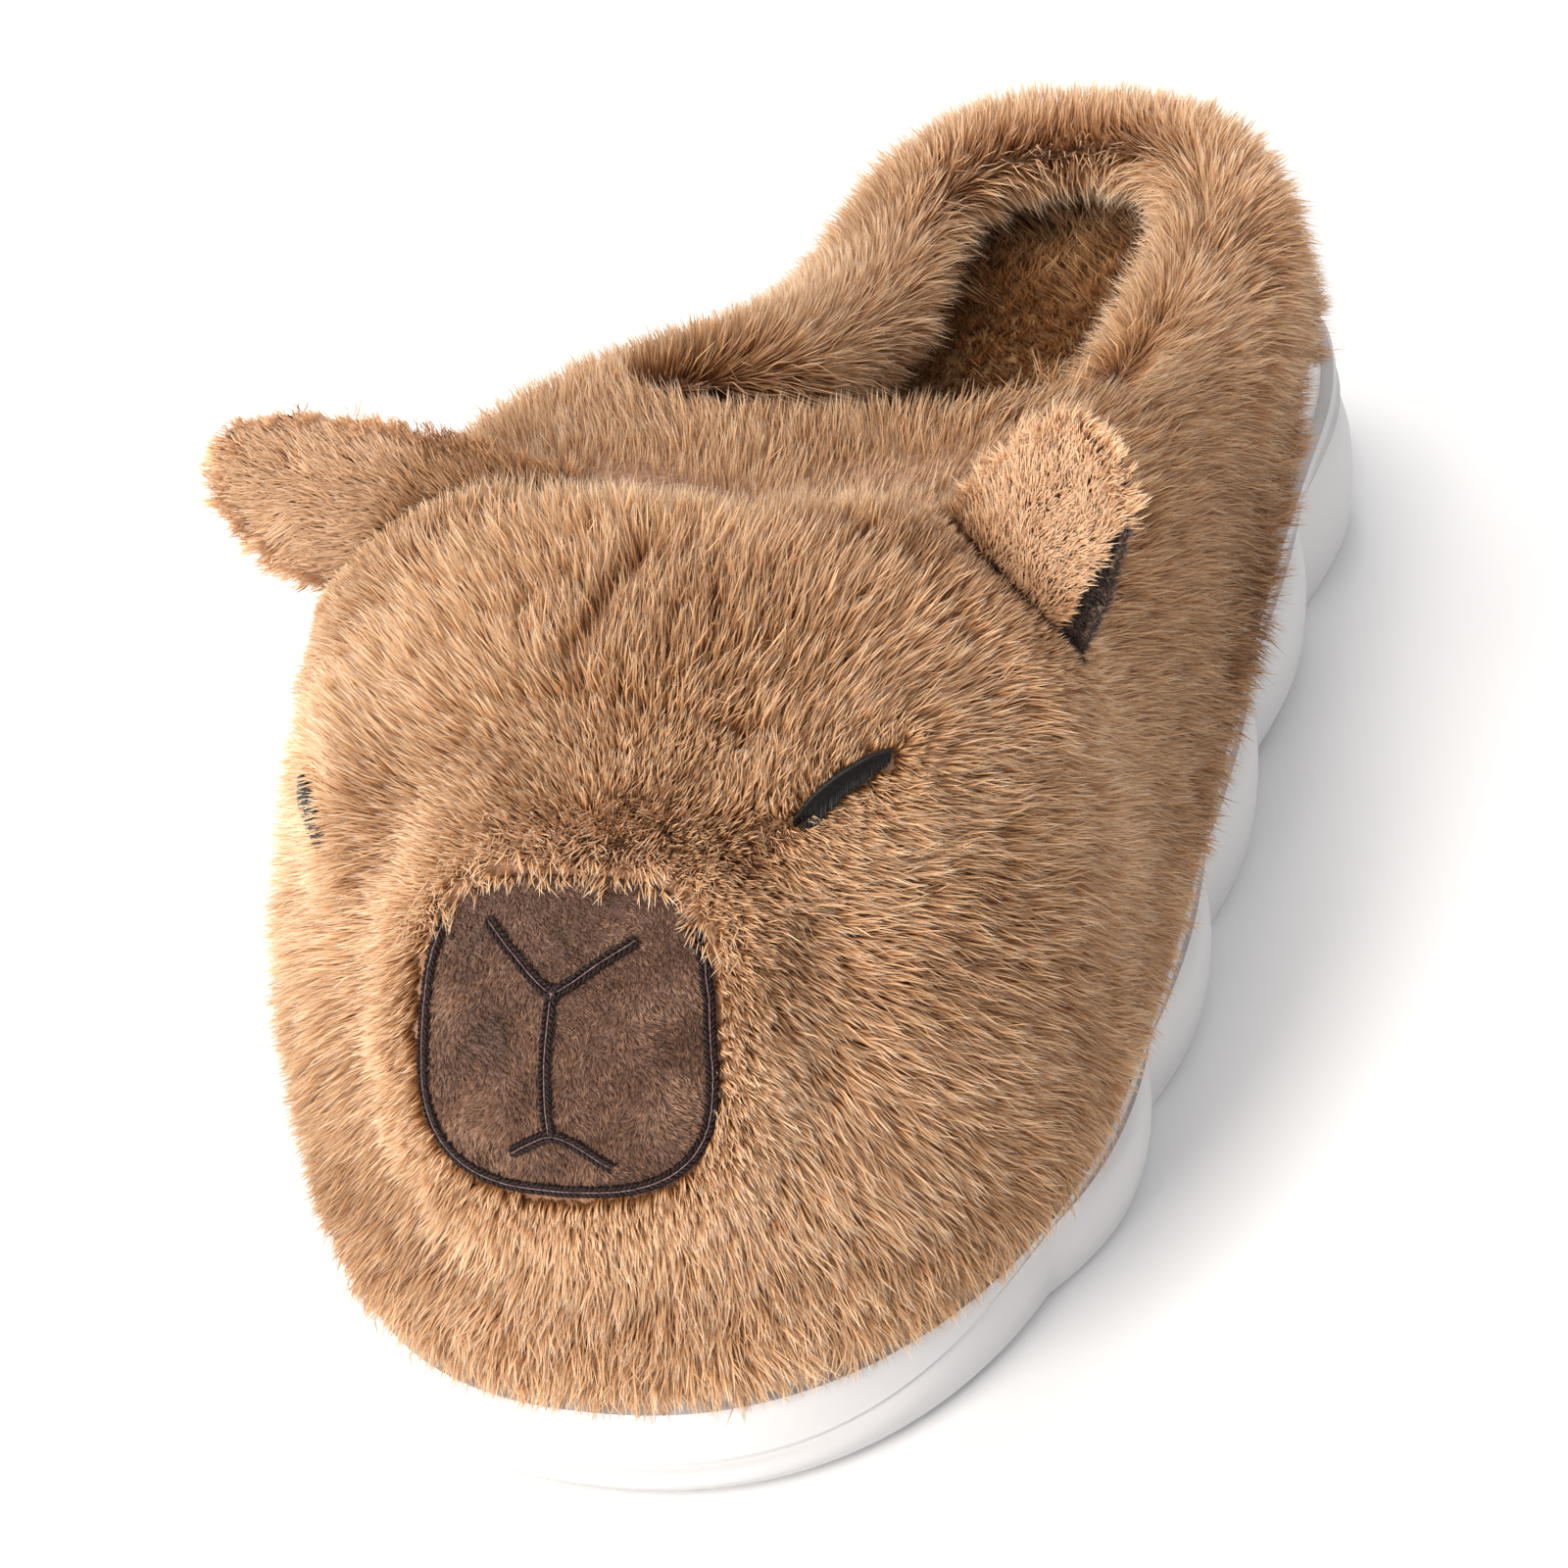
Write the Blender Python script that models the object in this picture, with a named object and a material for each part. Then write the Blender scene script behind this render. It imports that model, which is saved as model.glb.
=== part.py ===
"""Plush animal slipper for the left foot, standing on its sole.

Metres, +Z up. The toe points to -Y and the wearer's left side, the lateral one, is +X.
The origin is on the underside of the sole, half way along its length.
"""

import math
from collections import namedtuple

import bpy
import numpy as np

# Driving sizes of the moulded sole
sole_length = 0.276
ball_width = 0.110
sole_heel_height = 0.031
sole_ball_height = 0.024
sole_toe_height = 0.0207
toe_spring = 0.0018
toe_spring_start = 0.24
arch_lift = 0.0018
arch_start = 0.54
arch_end = 0.76
arch_ease = 0.08
lobe_count = 13
lobe_depth = 0.0034
toe_plain_length = 0.136
toe_plain_shift = 0.0070
step_toe_share = 0.36
step_side_share = 0.94
step_rise_end = 0.17
step_depth = 0.0016
side_rounding = 0.0036
edge_rounding = 0.0009
lip_inset = 0.0045
hem_drop = 0.0055
hem_thickness = 0.0020
groove_width = 0.0030
groove_depth = 0.0015
groove_pitch = 0.0135
groove_bend = 0.006
groove_margin = 0.012
groove_arch_margin = 0.02
groove_heel_end = 0.93

# Driving sizes of the plush upper
head_wall = 0.014
vamp_wall = 0.010
collar_wall = 0.013
rim_padding = 0.35
floor_wall = 0.008
widest_height = 0.043
head_crown = 0.101
throat_y = -0.013
collar_back_inset = 0.0090
collar_side_inset = 0.0080
side_swell = 0.010
tuft_height = 0.0015
tuft_spacing = 0.0060
hem_lock_length = 0.0032

# Driving sizes of what is set into and onto the upper
seat_gap = 0.0003
insole_thickness = 0.007
insole_rounding = 0.0045
insole_clearance = 0.0006
nose_width = 0.0390
nose_height = 0.0370
nose_centre_x = 0.0025
nose_centre_height = 0.0662
nose_taper = 0.06
nose_corner_power = 3.2
nose_recess = 0.0026
nose_dome = 0.0012
eye_length = 0.0195
eye_width = 0.0034
eye_recess = 0.0014
eye_dome = 0.0007
ear_length = 0.0280
ear_half_width = 0.0135
ear_half_thickness = 0.0036
ear_cup = 0.0036
ear_cup_fade = 0.5
ear_sink = 0.0020
ear_thinning = 0.45
ear_tip_power = 2.4

# How finely the curved surfaces are divided
columns_per_side = 46
outer_rows = 17
lobe_steps = 6
toe_steps = 12
dense_steps = 600
path_steps = 160
solve_steps = 32
slope_reach = 0.001
hem_turns = (0, 28, 58)
rim_turns = (36, 72, 108, 144)
nose_columns = 32
nose_rings = 3
nose_recess_rings = 2
eye_columns = 14
eye_rings = 2
eye_recess_rings = 1
ear_columns = 16
ear_rows = 7
sharp_angle = 40

toe_y = -sole_length / 2
heel_y = sole_length / 2
lip_gap = lip_inset - seat_gap
lip_height = hem_drop + hem_lock_length + seat_gap
recess_rise = 2 * tuft_height

# Half widths of the sole as shares of half the ball width, by share of its length from the toe
Plan = namedtuple("Plan", "along lateral medial")
plan_sections = [
    Plan(0.00, 0.985, 1.000),
    Plan(0.25, 0.975, 1.000),
    Plan(0.38, 0.950, 0.950),
    Plan(0.52, 0.893, 0.870),
    Plan(0.66, 0.840, 0.815),
    Plan(0.80, 0.800, 0.785),
    Plan(1.00, 0.780, 0.780),
]
toe_round_share = 0.30
toe_round_power = 2.25
heel_round_share = 0.20
heel_round_power = 2.3

# How thick the sole is, by share of its length
Height = namedtuple("Height", "along thickness")
height_sections = [
    Height(0.00, sole_toe_height),
    Height(0.32, sole_ball_height),
    Height(0.70, sole_heel_height),
    Height(1.00, sole_heel_height),
]

# The sole's side from its underside up to the step, and the band above the step: how far up, how far in as
# a share of side_rounding or of step_depth, and how much of the lobes shows
Side = namedtuple("Side", "up inset lobed")
side_profile = [
    Side(0.00, 1.00, 0.50),
    Side(0.07, 0.55, 0.75),
    Side(0.25, 0.25, 1.00),
    Side(0.60, 0.00, 1.00),
    Side(0.90, 0.17, 0.95),
    Side(1.00, 0.45, 0.60),
]
band_profile = [
    Side(0.30, 1.00, 0.30),
    Side(1.00, 1.30, 0.15),
]

# The insole's side: how far up as a share of its thickness, and how far in as a share of insole_rounding
Edge = namedtuple("Edge", "up inset")
insole_profile = [
    Edge(0.00, 0.00),
    Edge(0.65, 0.00),
    Edge(0.95, 0.33),
    Edge(1.00, 1.00),
]

# The upper's widest line stands outside the sole by lateral and medial, as shares of side_swell, at a height
# that is a share of widest_height. Crown is the closed form's height on the centre line, as a share of
# head_crown, and power says how square the form is across.
Section = namedtuple("Section", "along lateral medial widest crown power")
upper_sections = [
    Section(0.00, -0.10, -0.10, 0.86, 0.960, 2.2),
    Section(0.10, 0.10, -0.10, 0.90, 0.985, 2.2),
    Section(0.20, 0.15, 0.15, 0.96, 1.000, 2.3),
    Section(0.29, 0.00, 0.60, 1.00, 1.000, 2.5),
    Section(0.355, -0.10, 1.10, 1.02, 0.890, 2.8),
    Section(0.42, -0.10, 1.20, 1.04, 0.875, 3.2),
    Section(0.50, -0.10, 0.98, 1.02, 0.845, 3.2),
    Section(0.62, -0.20, -0.15, 1.00, 0.720, 2.8),
    Section(0.75, -0.30, -0.60, 1.00, 0.610, 2.6),
    Section(0.88, -0.40, -0.55, 1.00, 0.595, 2.6),
    Section(1.00, -0.25, -0.25, 1.00, 0.590, 2.6),
]
head_round_share = 0.235
head_round_power = 2.3
back_round_share = 0.13
back_round_power = 2.4

# Where the wall thins from the head's to the vamp's, and thickens again into the collar's, by share of the
# length, and from which share of a rib the rim's padding starts
vamp_wall_start = 0.26
vamp_wall_full = 0.40
collar_wall_start = 0.50
collar_wall_full = 0.72
rim_start = 0.72

# How the collar opening narrows at its throat and its back, and how the ribs fan out to it
throat_round_share = 0.42
throat_round_power = 2.0
back_collar_share = 0.30
back_collar_power = 2.3
back_collar_place = 0.70
rib_fan = 1.65

# Each eye's middle, across as a share of half the ball width and along as a share of the sole's length from
# the toe, and the way its slit runs
Eye = namedtuple("Eye", "name across along run_x run_y")
eyes = [
    Eye("eye_lateral", 0.59, 0.143, 0.50, 0.87),
    Eye("eye_medial", -0.73, 0.143, -0.50, 0.87),
]

# Each ear's root in the same shares, the way it points and the way its root runs
Ear = namedtuple("Ear", "name across along point_x point_y point_z run_x run_y run_z")
ears = [
    Ear("ear_lateral", 0.725, 0.312, 0.53, -0.05, 0.85, 0.76, -0.42, -0.50),
    Ear("ear_medial", -0.745, 0.313, -0.82, -0.22, 0.52, -0.50, -0.60, -0.62),
]


def smooth(table, column, along):
    """A column of a table of sections, read at a share of the length by a smooth curve through its rows."""
    knots = np.array([row.along for row in table])
    values = np.array([getattr(row, column) for row in table])
    slopes = np.gradient(values, knots)
    along = np.clip(np.asarray(along, float), knots[0], knots[-1])
    index = np.clip(np.searchsorted(knots, along, side="right") - 1, 0, len(knots) - 2)
    span = knots[index + 1] - knots[index]
    t = (along - knots[index]) / span
    start = values[index] * (2 * t**3 - 3 * t**2 + 1) + slopes[index] * span * (t**3 - 2 * t**2 + t)
    end = values[index + 1] * (3 * t**2 - 2 * t**3) + slopes[index + 1] * span * (t**3 - t**2)
    return start + end


def rounded_end(distance, reach, power):
    """0 at an end and 1 from reach onwards, along a quarter of a superellipse."""
    short = np.clip(1 - np.asarray(distance, float) / reach, 0, 1)
    return (1 - short**power) ** (1 / power)


def eased(value, start, end):
    """A smooth step from 0 at start to 1 at end."""
    t = np.clip((np.asarray(value, float) - start) / (end - start), 0, 1)
    return t * t * (3 - 2 * t)


def share_along(y):
    return np.clip((np.asarray(y, float) - toe_y) / sole_length, 0, 1)


def place_on_head(spot):
    """A spot's x and y from its shares across and along the shoe."""
    return np.array([spot.across * ball_width / 2, toe_y + spot.along * sole_length])


def unit(vectors):
    return vectors / np.linalg.norm(vectors, axis=-1, keepdims=True)


# The sole's outline and heights

def side_outline(side):
    """Points of the sole's plain outline on one side, from the toe tip to the back of the heel."""
    along = (1 - np.cos(np.linspace(0, math.pi, dense_steps))) / 2
    column = "lateral" if side > 0 else "medial"
    half = ball_width / 2 * smooth(plan_sections, column, along)
    half = half * rounded_end(along, toe_round_share, toe_round_power)
    half = half * rounded_end(1 - along, heel_round_share, heel_round_power)
    return np.column_stack([side * half, toe_y + along * sole_length])


def arc_lengths(points):
    steps = np.linalg.norm(np.diff(points, axis=0), axis=1)
    return np.concatenate([[0], np.cumsum(steps)])


def resample(points, lengths):
    """Points of a polyline at given lengths along it."""
    reached = arc_lengths(points)
    return np.column_stack([np.interp(lengths, reached, points[:, k]) for k in range(points.shape[1])])


lateral_side = side_outline(1)
medial_side = side_outline(-1)
outline = np.vstack([lateral_side, medial_side[-2::-1]])
lateral_length = arc_lengths(lateral_side)[-1]
outline_length = arc_lengths(outline)[-1]


def outline_at(lengths, inset=0.0):
    """Points of the sole's outline at lengths from the toe tip, round by the lateral side, moved in by inset."""
    lengths = np.asarray(lengths, float)
    step = outline_length / dense_steps
    before = resample(outline, (lengths - step) % outline_length)
    after = resample(outline, (lengths + step) % outline_length)
    middle = resample(outline, lengths % outline_length)
    run = unit(after - before)
    inwards = np.column_stack([-run[:, 1], run[:, 0]])
    return middle + inwards * np.reshape(inset, (-1, 1))


def spring_at(y):
    return toe_spring * np.clip(1 - share_along(y) / toe_spring_start, 0, 1) ** 2


def sole_bottom(y):
    along = share_along(y)
    rise = eased(along, arch_start, arch_start + arch_ease)
    fall = eased(along, arch_end - arch_ease, arch_end)
    return spring_at(y) + arch_lift * (rise - fall)


def sole_top(y):
    return spring_at(y) + smooth(height_sections, "thickness", share_along(y))


def step_share(y):
    """Height of the lobed band as a share of the side: low round the toe and all of it along the shoe."""
    return step_toe_share + (step_side_share - step_toe_share) * eased(share_along(y), 0, step_rise_end)


# The closed outer form of the upper

column_lengths = np.concatenate(
    [
        np.linspace(0, lateral_length, columns_per_side, endpoint=False),
        np.linspace(lateral_length, outline_length, columns_per_side, endpoint=False),
    ]
)
dense_lengths = np.linspace(0, outline_length, dense_steps, endpoint=False)


def widest_line(lengths):
    """The upper's widest line: the sole's outline, moved out by each side's own amount."""
    plain = outline_at(lengths)
    along = share_along(plain[:, 1])
    lateral = smooth(upper_sections, "lateral", along)
    medial = smooth(upper_sections, "medial", along)
    return outline_at(lengths, -side_swell * np.where(plain[:, 0] >= 0, lateral, medial))


def half_width_table(side):
    """The widest line's distance from the centre line on one side, in order along the shoe."""
    chosen = widest_outline[widest_outline[:, 0] * side >= 0]
    chosen = chosen[np.argsort(chosen[:, 1])]
    return chosen[:, 1], np.abs(chosen[:, 0])


widest_outline = widest_line(dense_lengths)
widest_toe_y = widest_outline[:, 1].min()
widest_heel_y = widest_outline[:, 1].max()
half_widths = {1: half_width_table(1), -1: half_width_table(-1)}


def half_width(y, side):
    along, reach = half_widths[side]
    return np.interp(y, along, reach)


def widest_level(y):
    return widest_height * smooth(upper_sections, "widest", share_along(y))


def crown_level(y):
    """The closed form's height on the centre line, rounded down to the widest line at the toe and the heel."""
    low = widest_level(y)
    high = head_crown * smooth(upper_sections, "crown", share_along(y))
    front = rounded_end(y - widest_toe_y, head_round_share * sole_length, head_round_power)
    back = rounded_end(widest_heel_y - y, back_round_share * sole_length, back_round_power)
    return low + (high - low) * front * back


def form_height(x, y):
    """Height of the upper's closed outer form above a point inside its widest line."""
    x = np.asarray(x, float)
    y = np.asarray(y, float)
    half = np.where(x >= 0, half_width(y, 1), half_width(y, -1))
    share = np.clip(np.abs(x) / np.maximum(half, seat_gap), 0, 1)
    power = smooth(upper_sections, "power", share_along(y))
    low = widest_level(y)
    return low + (crown_level(y) - low) * (1 - share**power) ** (1 / power)


def form_front(x, z):
    """How far forward the head's front stands at x and height z, found by halving."""
    near = np.full(np.shape(x), widest_toe_y)
    far = near + head_round_share * sole_length
    for _ in range(solve_steps):
        middle = (near + far) / 2
        above = form_height(x, middle) >= z
        far = np.where(above, middle, far)
        near = np.where(above, near, middle)
    return far


def front_point(x, z, out=0.0):
    """A point of the head's front at x and height z, moved out along the form's normal."""
    x, z = np.broadcast_arrays(np.asarray(x, float), np.asarray(z, float))
    reach = slope_reach
    across = (form_front(x + reach, z) - form_front(x - reach, z)) / (2 * reach)
    upwards = (form_front(x, z + reach) - form_front(x, z - reach)) / (2 * reach)
    normal = unit(np.stack([across, -np.ones_like(across), upwards], axis=-1))
    return np.stack([x, form_front(x, z), z], axis=-1) + normal * np.asarray(out)[..., None]


def top_point(x, y, out=0.0):
    """A point of the form above x and y, moved out along the form's normal."""
    x, y = np.broadcast_arrays(np.asarray(x, float), np.asarray(y, float))
    reach = slope_reach
    across = (form_height(x + reach, y) - form_height(x - reach, y)) / (2 * reach)
    forwards = (form_height(x, y + reach) - form_height(x, y - reach)) / (2 * reach)
    normal = unit(np.stack([-across, -forwards, np.ones_like(across)], axis=-1))
    return np.stack([x, y, form_height(x, y)], axis=-1) + normal * np.asarray(out)[..., None]


# The collar and the ribs that run up to it

def collar_side(side):
    """Plan of the collar's outer top line on one side, from the throat to the back."""
    along = (1 - np.cos(np.linspace(0, math.pi, dense_steps))) / 2
    back_y = widest_heel_y - collar_back_inset
    y = throat_y + along * (back_y - throat_y)
    half = half_width(y, side) - collar_side_inset
    half = half * rounded_end(along, throat_round_share, throat_round_power)
    heel_half = half_width(throat_y + back_collar_place * (back_y - throat_y), side) - collar_side_inset
    half = np.minimum(half, heel_half * rounded_end(1 - along, back_collar_share, back_collar_power))
    return np.column_stack([side * half, y])


def collar_points():
    """The collar's outer top point of each rib."""
    found = []
    for side in (1, -1):
        curve = collar_side(side)
        share = np.arange(columns_per_side) / columns_per_side
        if side < 0:
            share = 1 - share
        found.append(resample(curve, arc_lengths(curve)[-1] * share**rib_fan))
    return np.vstack(found)


def ribs():
    """The upper's outer surface as rows of points from the hem to the collar, one point for each rib."""
    plain = outline_at(column_lengths)
    locks = hem_lock_length * (np.arange(len(plain)) % 2)
    hem = outline_at(column_lengths, lip_gap - hem_thickness)
    hem_height = sole_top(plain[:, 1]) - hem_drop - locks
    widest = widest_line(column_lengths)
    widest_z = widest_level(widest[:, 1])
    rows = []
    for turn in hem_turns:
        out = math.sin(math.radians(turn))
        rise = 1 - math.cos(math.radians(turn))
        plan = hem + (widest - hem) * out
        rows.append(np.column_stack([plan, hem_height + (widest_z - hem_height) * rise]))
    collar = collar_points()
    share = np.linspace(0, 1, path_steps) ** 2
    over = np.empty((outer_rows, len(widest), 3))
    for k in range(len(widest)):
        plan = widest[k] + np.outer(share, collar[k] - widest[k])
        path = np.column_stack([plan, form_height(plan[:, 0], plan[:, 1])])
        path[0, 2] = widest_z[k]
        over[:, k] = resample(path, np.linspace(0, arc_lengths(path)[-1], outer_rows))
    return np.array(rows + list(over))


def row_normals(rows):
    """Outward normals of a grid of rows that close on themselves."""
    around = np.roll(rows, -1, axis=1) - np.roll(rows, 1, axis=1)
    up = np.gradient(rows, axis=0)
    return unit(np.cross(around, up))


def wall_at(row_share, y):
    """Wall thickness: the stuffed head's, thinner over the vamp and thicker in the padded collar."""
    along = share_along(y)
    vamp = head_wall + (vamp_wall - head_wall) * eased(along, vamp_wall_start, vamp_wall_full)
    heel = eased(along, collar_wall_start, collar_wall_full)
    rim = eased(row_share, rim_start, 1.0)
    return vamp + (collar_wall - vamp) * np.maximum(heel, rim_padding * rim)


# Building meshes

def new_object(name, points, faces, material):
    mesh = bpy.data.meshes.new(name)
    mesh.from_pydata([tuple(p) for p in points], [], faces)
    mesh.validate()
    mesh.materials.append(material)
    built = bpy.data.objects.new(name, mesh)
    bpy.context.scene.collection.objects.link(built)
    mesh.shade_smooth()
    mesh.set_sharp_from_angle(angle=math.radians(sharp_angle))
    return built


def new_material(name, colour, roughness, metallic=0.0):
    made = bpy.data.materials.new(name)
    made.use_nodes = True
    shader = made.node_tree.nodes["Principled BSDF"]
    shader.inputs["Base Color"].default_value = (*colour, 1.0)
    shader.inputs["Roughness"].default_value = roughness
    shader.inputs["Metallic"].default_value = metallic
    return made


def quads_between(first, second, count):
    """Faces between two closed rows of count points that start at these indices."""
    faces = []
    for k in range(count):
        after = (k + 1) % count
        faces.append((first + k, first + after, second + after, second + k))
    return faces


def stacked_faces(row_count, count):
    """Faces between closed rows that are stacked one on the next."""
    faces = []
    for row in range(row_count - 1):
        faces += quads_between(row * count, (row + 1) * count, count)
    return faces


def ladder(points, start, end, count, base, upwards):
    """Triangles across a closed row from its start point to its end point, rung by rung.

    Each step is taken on the side that lags behind along the line from start to end.
    """
    origin = np.array(points[base + start])
    direction = np.array(points[base + end]) - origin
    right = [base + k % count for k in range(start, end + 1)]
    left = [base + k % count for k in range(count + start, end - 1, -1)]
    reach = {k: float(np.dot(np.array(points[k]) - origin, direction)) for k in right + left}
    i = 0
    j = 0
    faces = []
    while i < len(right) - 1 or j < len(left) - 1:
        right_open = i < len(right) - 1
        left_open = j < len(left) - 1
        if right_open and (not left_open or reach[right[i + 1]] <= reach[left[j + 1]]):
            face = (right[i], right[i + 1], left[j])
            i += 1
        else:
            face = (right[i], left[j + 1], left[j])
            j += 1
        if len(set(face)) == 3:
            faces.append(face if upwards else face[::-1])
    return faces


def cut(target, cutter):
    """Takes closed cutters out of a solid."""
    cutter.hide_render = True
    cutter.display_type = "WIRE"
    change = target.modifiers.new("cut", "BOOLEAN")
    change.operation = "DIFFERENCE"
    change.solver = "EXACT"
    change.object = cutter


# Sole

def lobe_columns():
    """Lengths round the outline at which the side is divided, and how far each stands in from the lobes' crests."""
    lobed = outline_length - toe_plain_length
    lobes_start = toe_plain_length / 2 + toe_plain_shift
    lengths = []
    drops = []
    for step in range(lobe_count * lobe_steps + 1):
        across = (step % lobe_steps) / lobe_steps
        lengths.append(lobes_start + step * lobed / (lobe_count * lobe_steps))
        drops.append(lobe_depth * (2 * across - 1) ** 2)
    for step in range(1, toe_steps):
        lengths.append(lobes_start - step * toe_plain_length / toe_steps)
        drops.append(lobe_depth * (2 * step / toe_steps - 1) ** 2)
    order = np.argsort(lengths)
    return np.array(lengths)[order], np.array(drops)[order]


def groove_cutter(material):
    """The tread's grooves: shallow bars bent in the middle, all clear of the sole's edge."""
    points = []
    faces = []
    top = groove_depth
    bottom = -groove_depth
    count = int(sole_length / 2 / groove_pitch)
    for step in range(-count, count):
        middle = (step + 0.5) * groove_pitch
        along = share_along(middle)
        under_ball = toe_spring_start <= along <= arch_start - groove_arch_margin
        under_heel = arch_end + groove_arch_margin <= along <= groove_heel_end
        if not (under_ball or under_heel):
            continue
        base = len(points)
        for side in (-1, 0, 1):
            reach = side * (min(half_width(middle, 1), half_width(middle, -1)) - groove_margin)
            y = middle + groove_bend * abs(side)
            points += [
                (reach, y - groove_width / 2, bottom),
                (reach, y + groove_width / 2, bottom),
                (reach, y + groove_width / 2, top),
                (reach, y - groove_width / 2, top),
            ]
        faces += [tuple(base + k for k in face) for face in ((3, 2, 1, 0), (8, 9, 10, 11))]
        for first in (base, base + 4):
            faces += quads_between(first, first + 4, 4)
    return new_object("tread_grooves", points, faces, material)


def build_sole(material):
    lengths, drops = lobe_columns()
    count = len(lengths)
    plain = outline_at(lengths)
    low = sole_bottom(plain[:, 1])
    high = sole_top(plain[:, 1])
    band_top = high - lip_height
    step = low + (band_top - low) * step_share(plain[:, 1])
    band_edge = band_top - edge_rounding
    profile = [(low + (step - low) * row.up, side_rounding * row.inset, row.lobed) for row in side_profile]
    profile += [(step + (band_edge - step) * row.up, step_depth * row.inset, row.lobed) for row in band_profile]
    profile += [
        (band_top, lip_inset, 0.0),
        (high - edge_rounding, lip_inset, 0.0),
        (high, lip_inset + edge_rounding, 0.0),
    ]
    points = []
    for level, inset, lobed in profile:
        plan = outline_at(lengths, inset + drops * lobed)
        points += list(np.column_stack([plan, level]))
    faces = stacked_faces(len(profile), count)
    toe = int(np.argmin(plain[:, 1]))
    heel = int(np.argmax(plain[:, 1]))
    faces += ladder(points, toe, heel, count, 0, False)
    faces += ladder(points, toe, heel, count, (len(profile) - 1) * count, True)
    sole = new_object("sole", points, faces, material)
    cut(sole, groove_cutter(material))
    return sole


# Upper

def tufted(rows, normals):
    """Rows of the pile in staggered tufts: every other point stands out and lies down towards the hem."""
    spacing = np.linalg.norm(np.roll(rows, -1, axis=1) - rows, axis=2)
    raised = (np.arange(len(rows))[:, None] + np.arange(rows.shape[1])[None, :]) % 2
    raised[0] = 0
    height = tuft_height * raised * np.clip(spacing / tuft_spacing, 0, 1)
    nap = unit(np.roll(rows, 1, axis=0) - rows)
    return rows + (normals + nap) * height[:, :, None]


def build_upper(material):
    smooth_outer = ribs()
    normals = row_normals(smooth_outer)
    low_rows = len(hem_turns) + 1
    flat = normals[:low_rows].copy()
    flat[:, :, 2] = 0
    normals[:low_rows] = unit(flat)
    row_count, count = smooth_outer.shape[:2]
    share = (np.arange(row_count) / (row_count - 1))[:, None]
    wall = wall_at(share, smooth_outer[:, :, 1])
    inner = smooth_outer - normals * wall[:, :, None]
    outer = tufted(smooth_outer, normals)
    rim_wall = wall[-1][:, None]
    centre = smooth_outer[-1] - normals[-1] * rim_wall / 2
    along_rib = smooth_outer[-1] - smooth_outer[-2]
    along_rib -= normals[-1] * np.sum(along_rib * normals[-1], axis=1, keepdims=True)
    along_rib = unit(along_rib)
    rows = list(outer)
    for turn in rim_turns:
        angle = math.radians(turn)
        reach = normals[-1] * math.cos(angle) + along_rib * math.sin(angle)
        rows.append(centre + reach * rim_wall / 2)
    for row in range(row_count - 1, low_rows - 1, -2):
        rows.append(inner[row])
    floor = sole_top(outline_at(column_lengths)[:, 1]) + seat_gap
    inside = outline_at(column_lengths, lip_gap + floor_wall)
    lip = outline_at(column_lengths, lip_gap)
    rows.append(np.column_stack([inside, floor + insole_thickness + insole_clearance]))
    rows.append(np.column_stack([inside, floor]))
    rows.append(np.column_stack([lip, floor]))
    rows.append(np.column_stack([lip, outer[0][:, 2]]))
    faces = stacked_faces(len(rows), count) + quads_between((len(rows) - 1) * count, 0, count)
    return new_object("upper", np.concatenate(rows), faces, material)


def build_insole(material):
    """The plush-covered sock, resting on the sole inside the upper."""
    plain = outline_at(column_lengths)
    count = len(plain)
    floor = sole_top(plain[:, 1]) + seat_gap
    edge = lip_gap + floor_wall + insole_clearance
    rows = []
    for row in insole_profile:
        plan = outline_at(column_lengths, edge + insole_rounding * row.inset)
        rows.append(np.column_stack([plan, floor + insole_thickness * row.up]))
    points = np.concatenate(rows)
    faces = stacked_faces(len(rows), count)
    faces += ladder(points, 0, columns_per_side, count, 0, False)
    faces += ladder(points, 0, columns_per_side, count, (len(rows) - 1) * count, True)
    return new_object("insole", points, faces, material)


# Nose patch and eyes, each seated in a recess of the upper

def pad(name, place, edge, rings, depth, rise, dome, material):
    """A closed pad that follows the form, from a depth below it to a rise above it and domed in the middle.

    edge gives the pad's half sizes at each turn round it, and place gives a point of the form for a point
    of the pad's plan and a move outwards.
    """
    count = len(edge)
    shares = np.linspace(0, 1, rings + 1)[1:]
    rows = [place(edge * share, np.full(count, -depth)) for share in shares]
    rows += [place(edge * share, np.full(count, rise + dome * (1 - share**2))) for share in shares[::-1]]
    middle = np.zeros((1, 2))
    ends = [place(middle, np.array([-depth])), place(middle, np.array([rise + dome]))]
    points = np.concatenate(rows + ends)
    faces = stacked_faces(len(rows), count)
    last = (len(rows) - 1) * count
    for k in range(count):
        after = (k + 1) % count
        faces.append((after, k, len(points) - 2))
        faces.append((last + k, last + after, len(points) - 1))
    return new_object(name, points, faces, material)


def nose_edge(grow):
    """Half sizes of the nose patch round its edge: a soft square, narrower above."""
    turn = np.linspace(0, 2 * math.pi, nose_columns, endpoint=False)
    power = 2 / nose_corner_power
    across = np.sign(np.cos(turn)) * np.abs(np.cos(turn)) ** power
    upwards = np.sign(np.sin(turn)) * np.abs(np.sin(turn)) ** power
    across = across * (1 - nose_taper * upwards)
    return np.column_stack([across * (nose_width / 2 + grow), upwards * (nose_height / 2 + grow)])


def nose_place(plan, out):
    return front_point(nose_centre_x + plan[:, 0], nose_centre_height + plan[:, 1], out)


def eye_edge(grow):
    """Half sizes of an eye's slit round its edge, along it and across it."""
    turn = np.linspace(0, 2 * math.pi, eye_columns, endpoint=False)
    return np.column_stack([np.cos(turn) * (eye_length / 2 + grow), np.sin(turn) * (eye_width / 2 + grow)])


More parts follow.
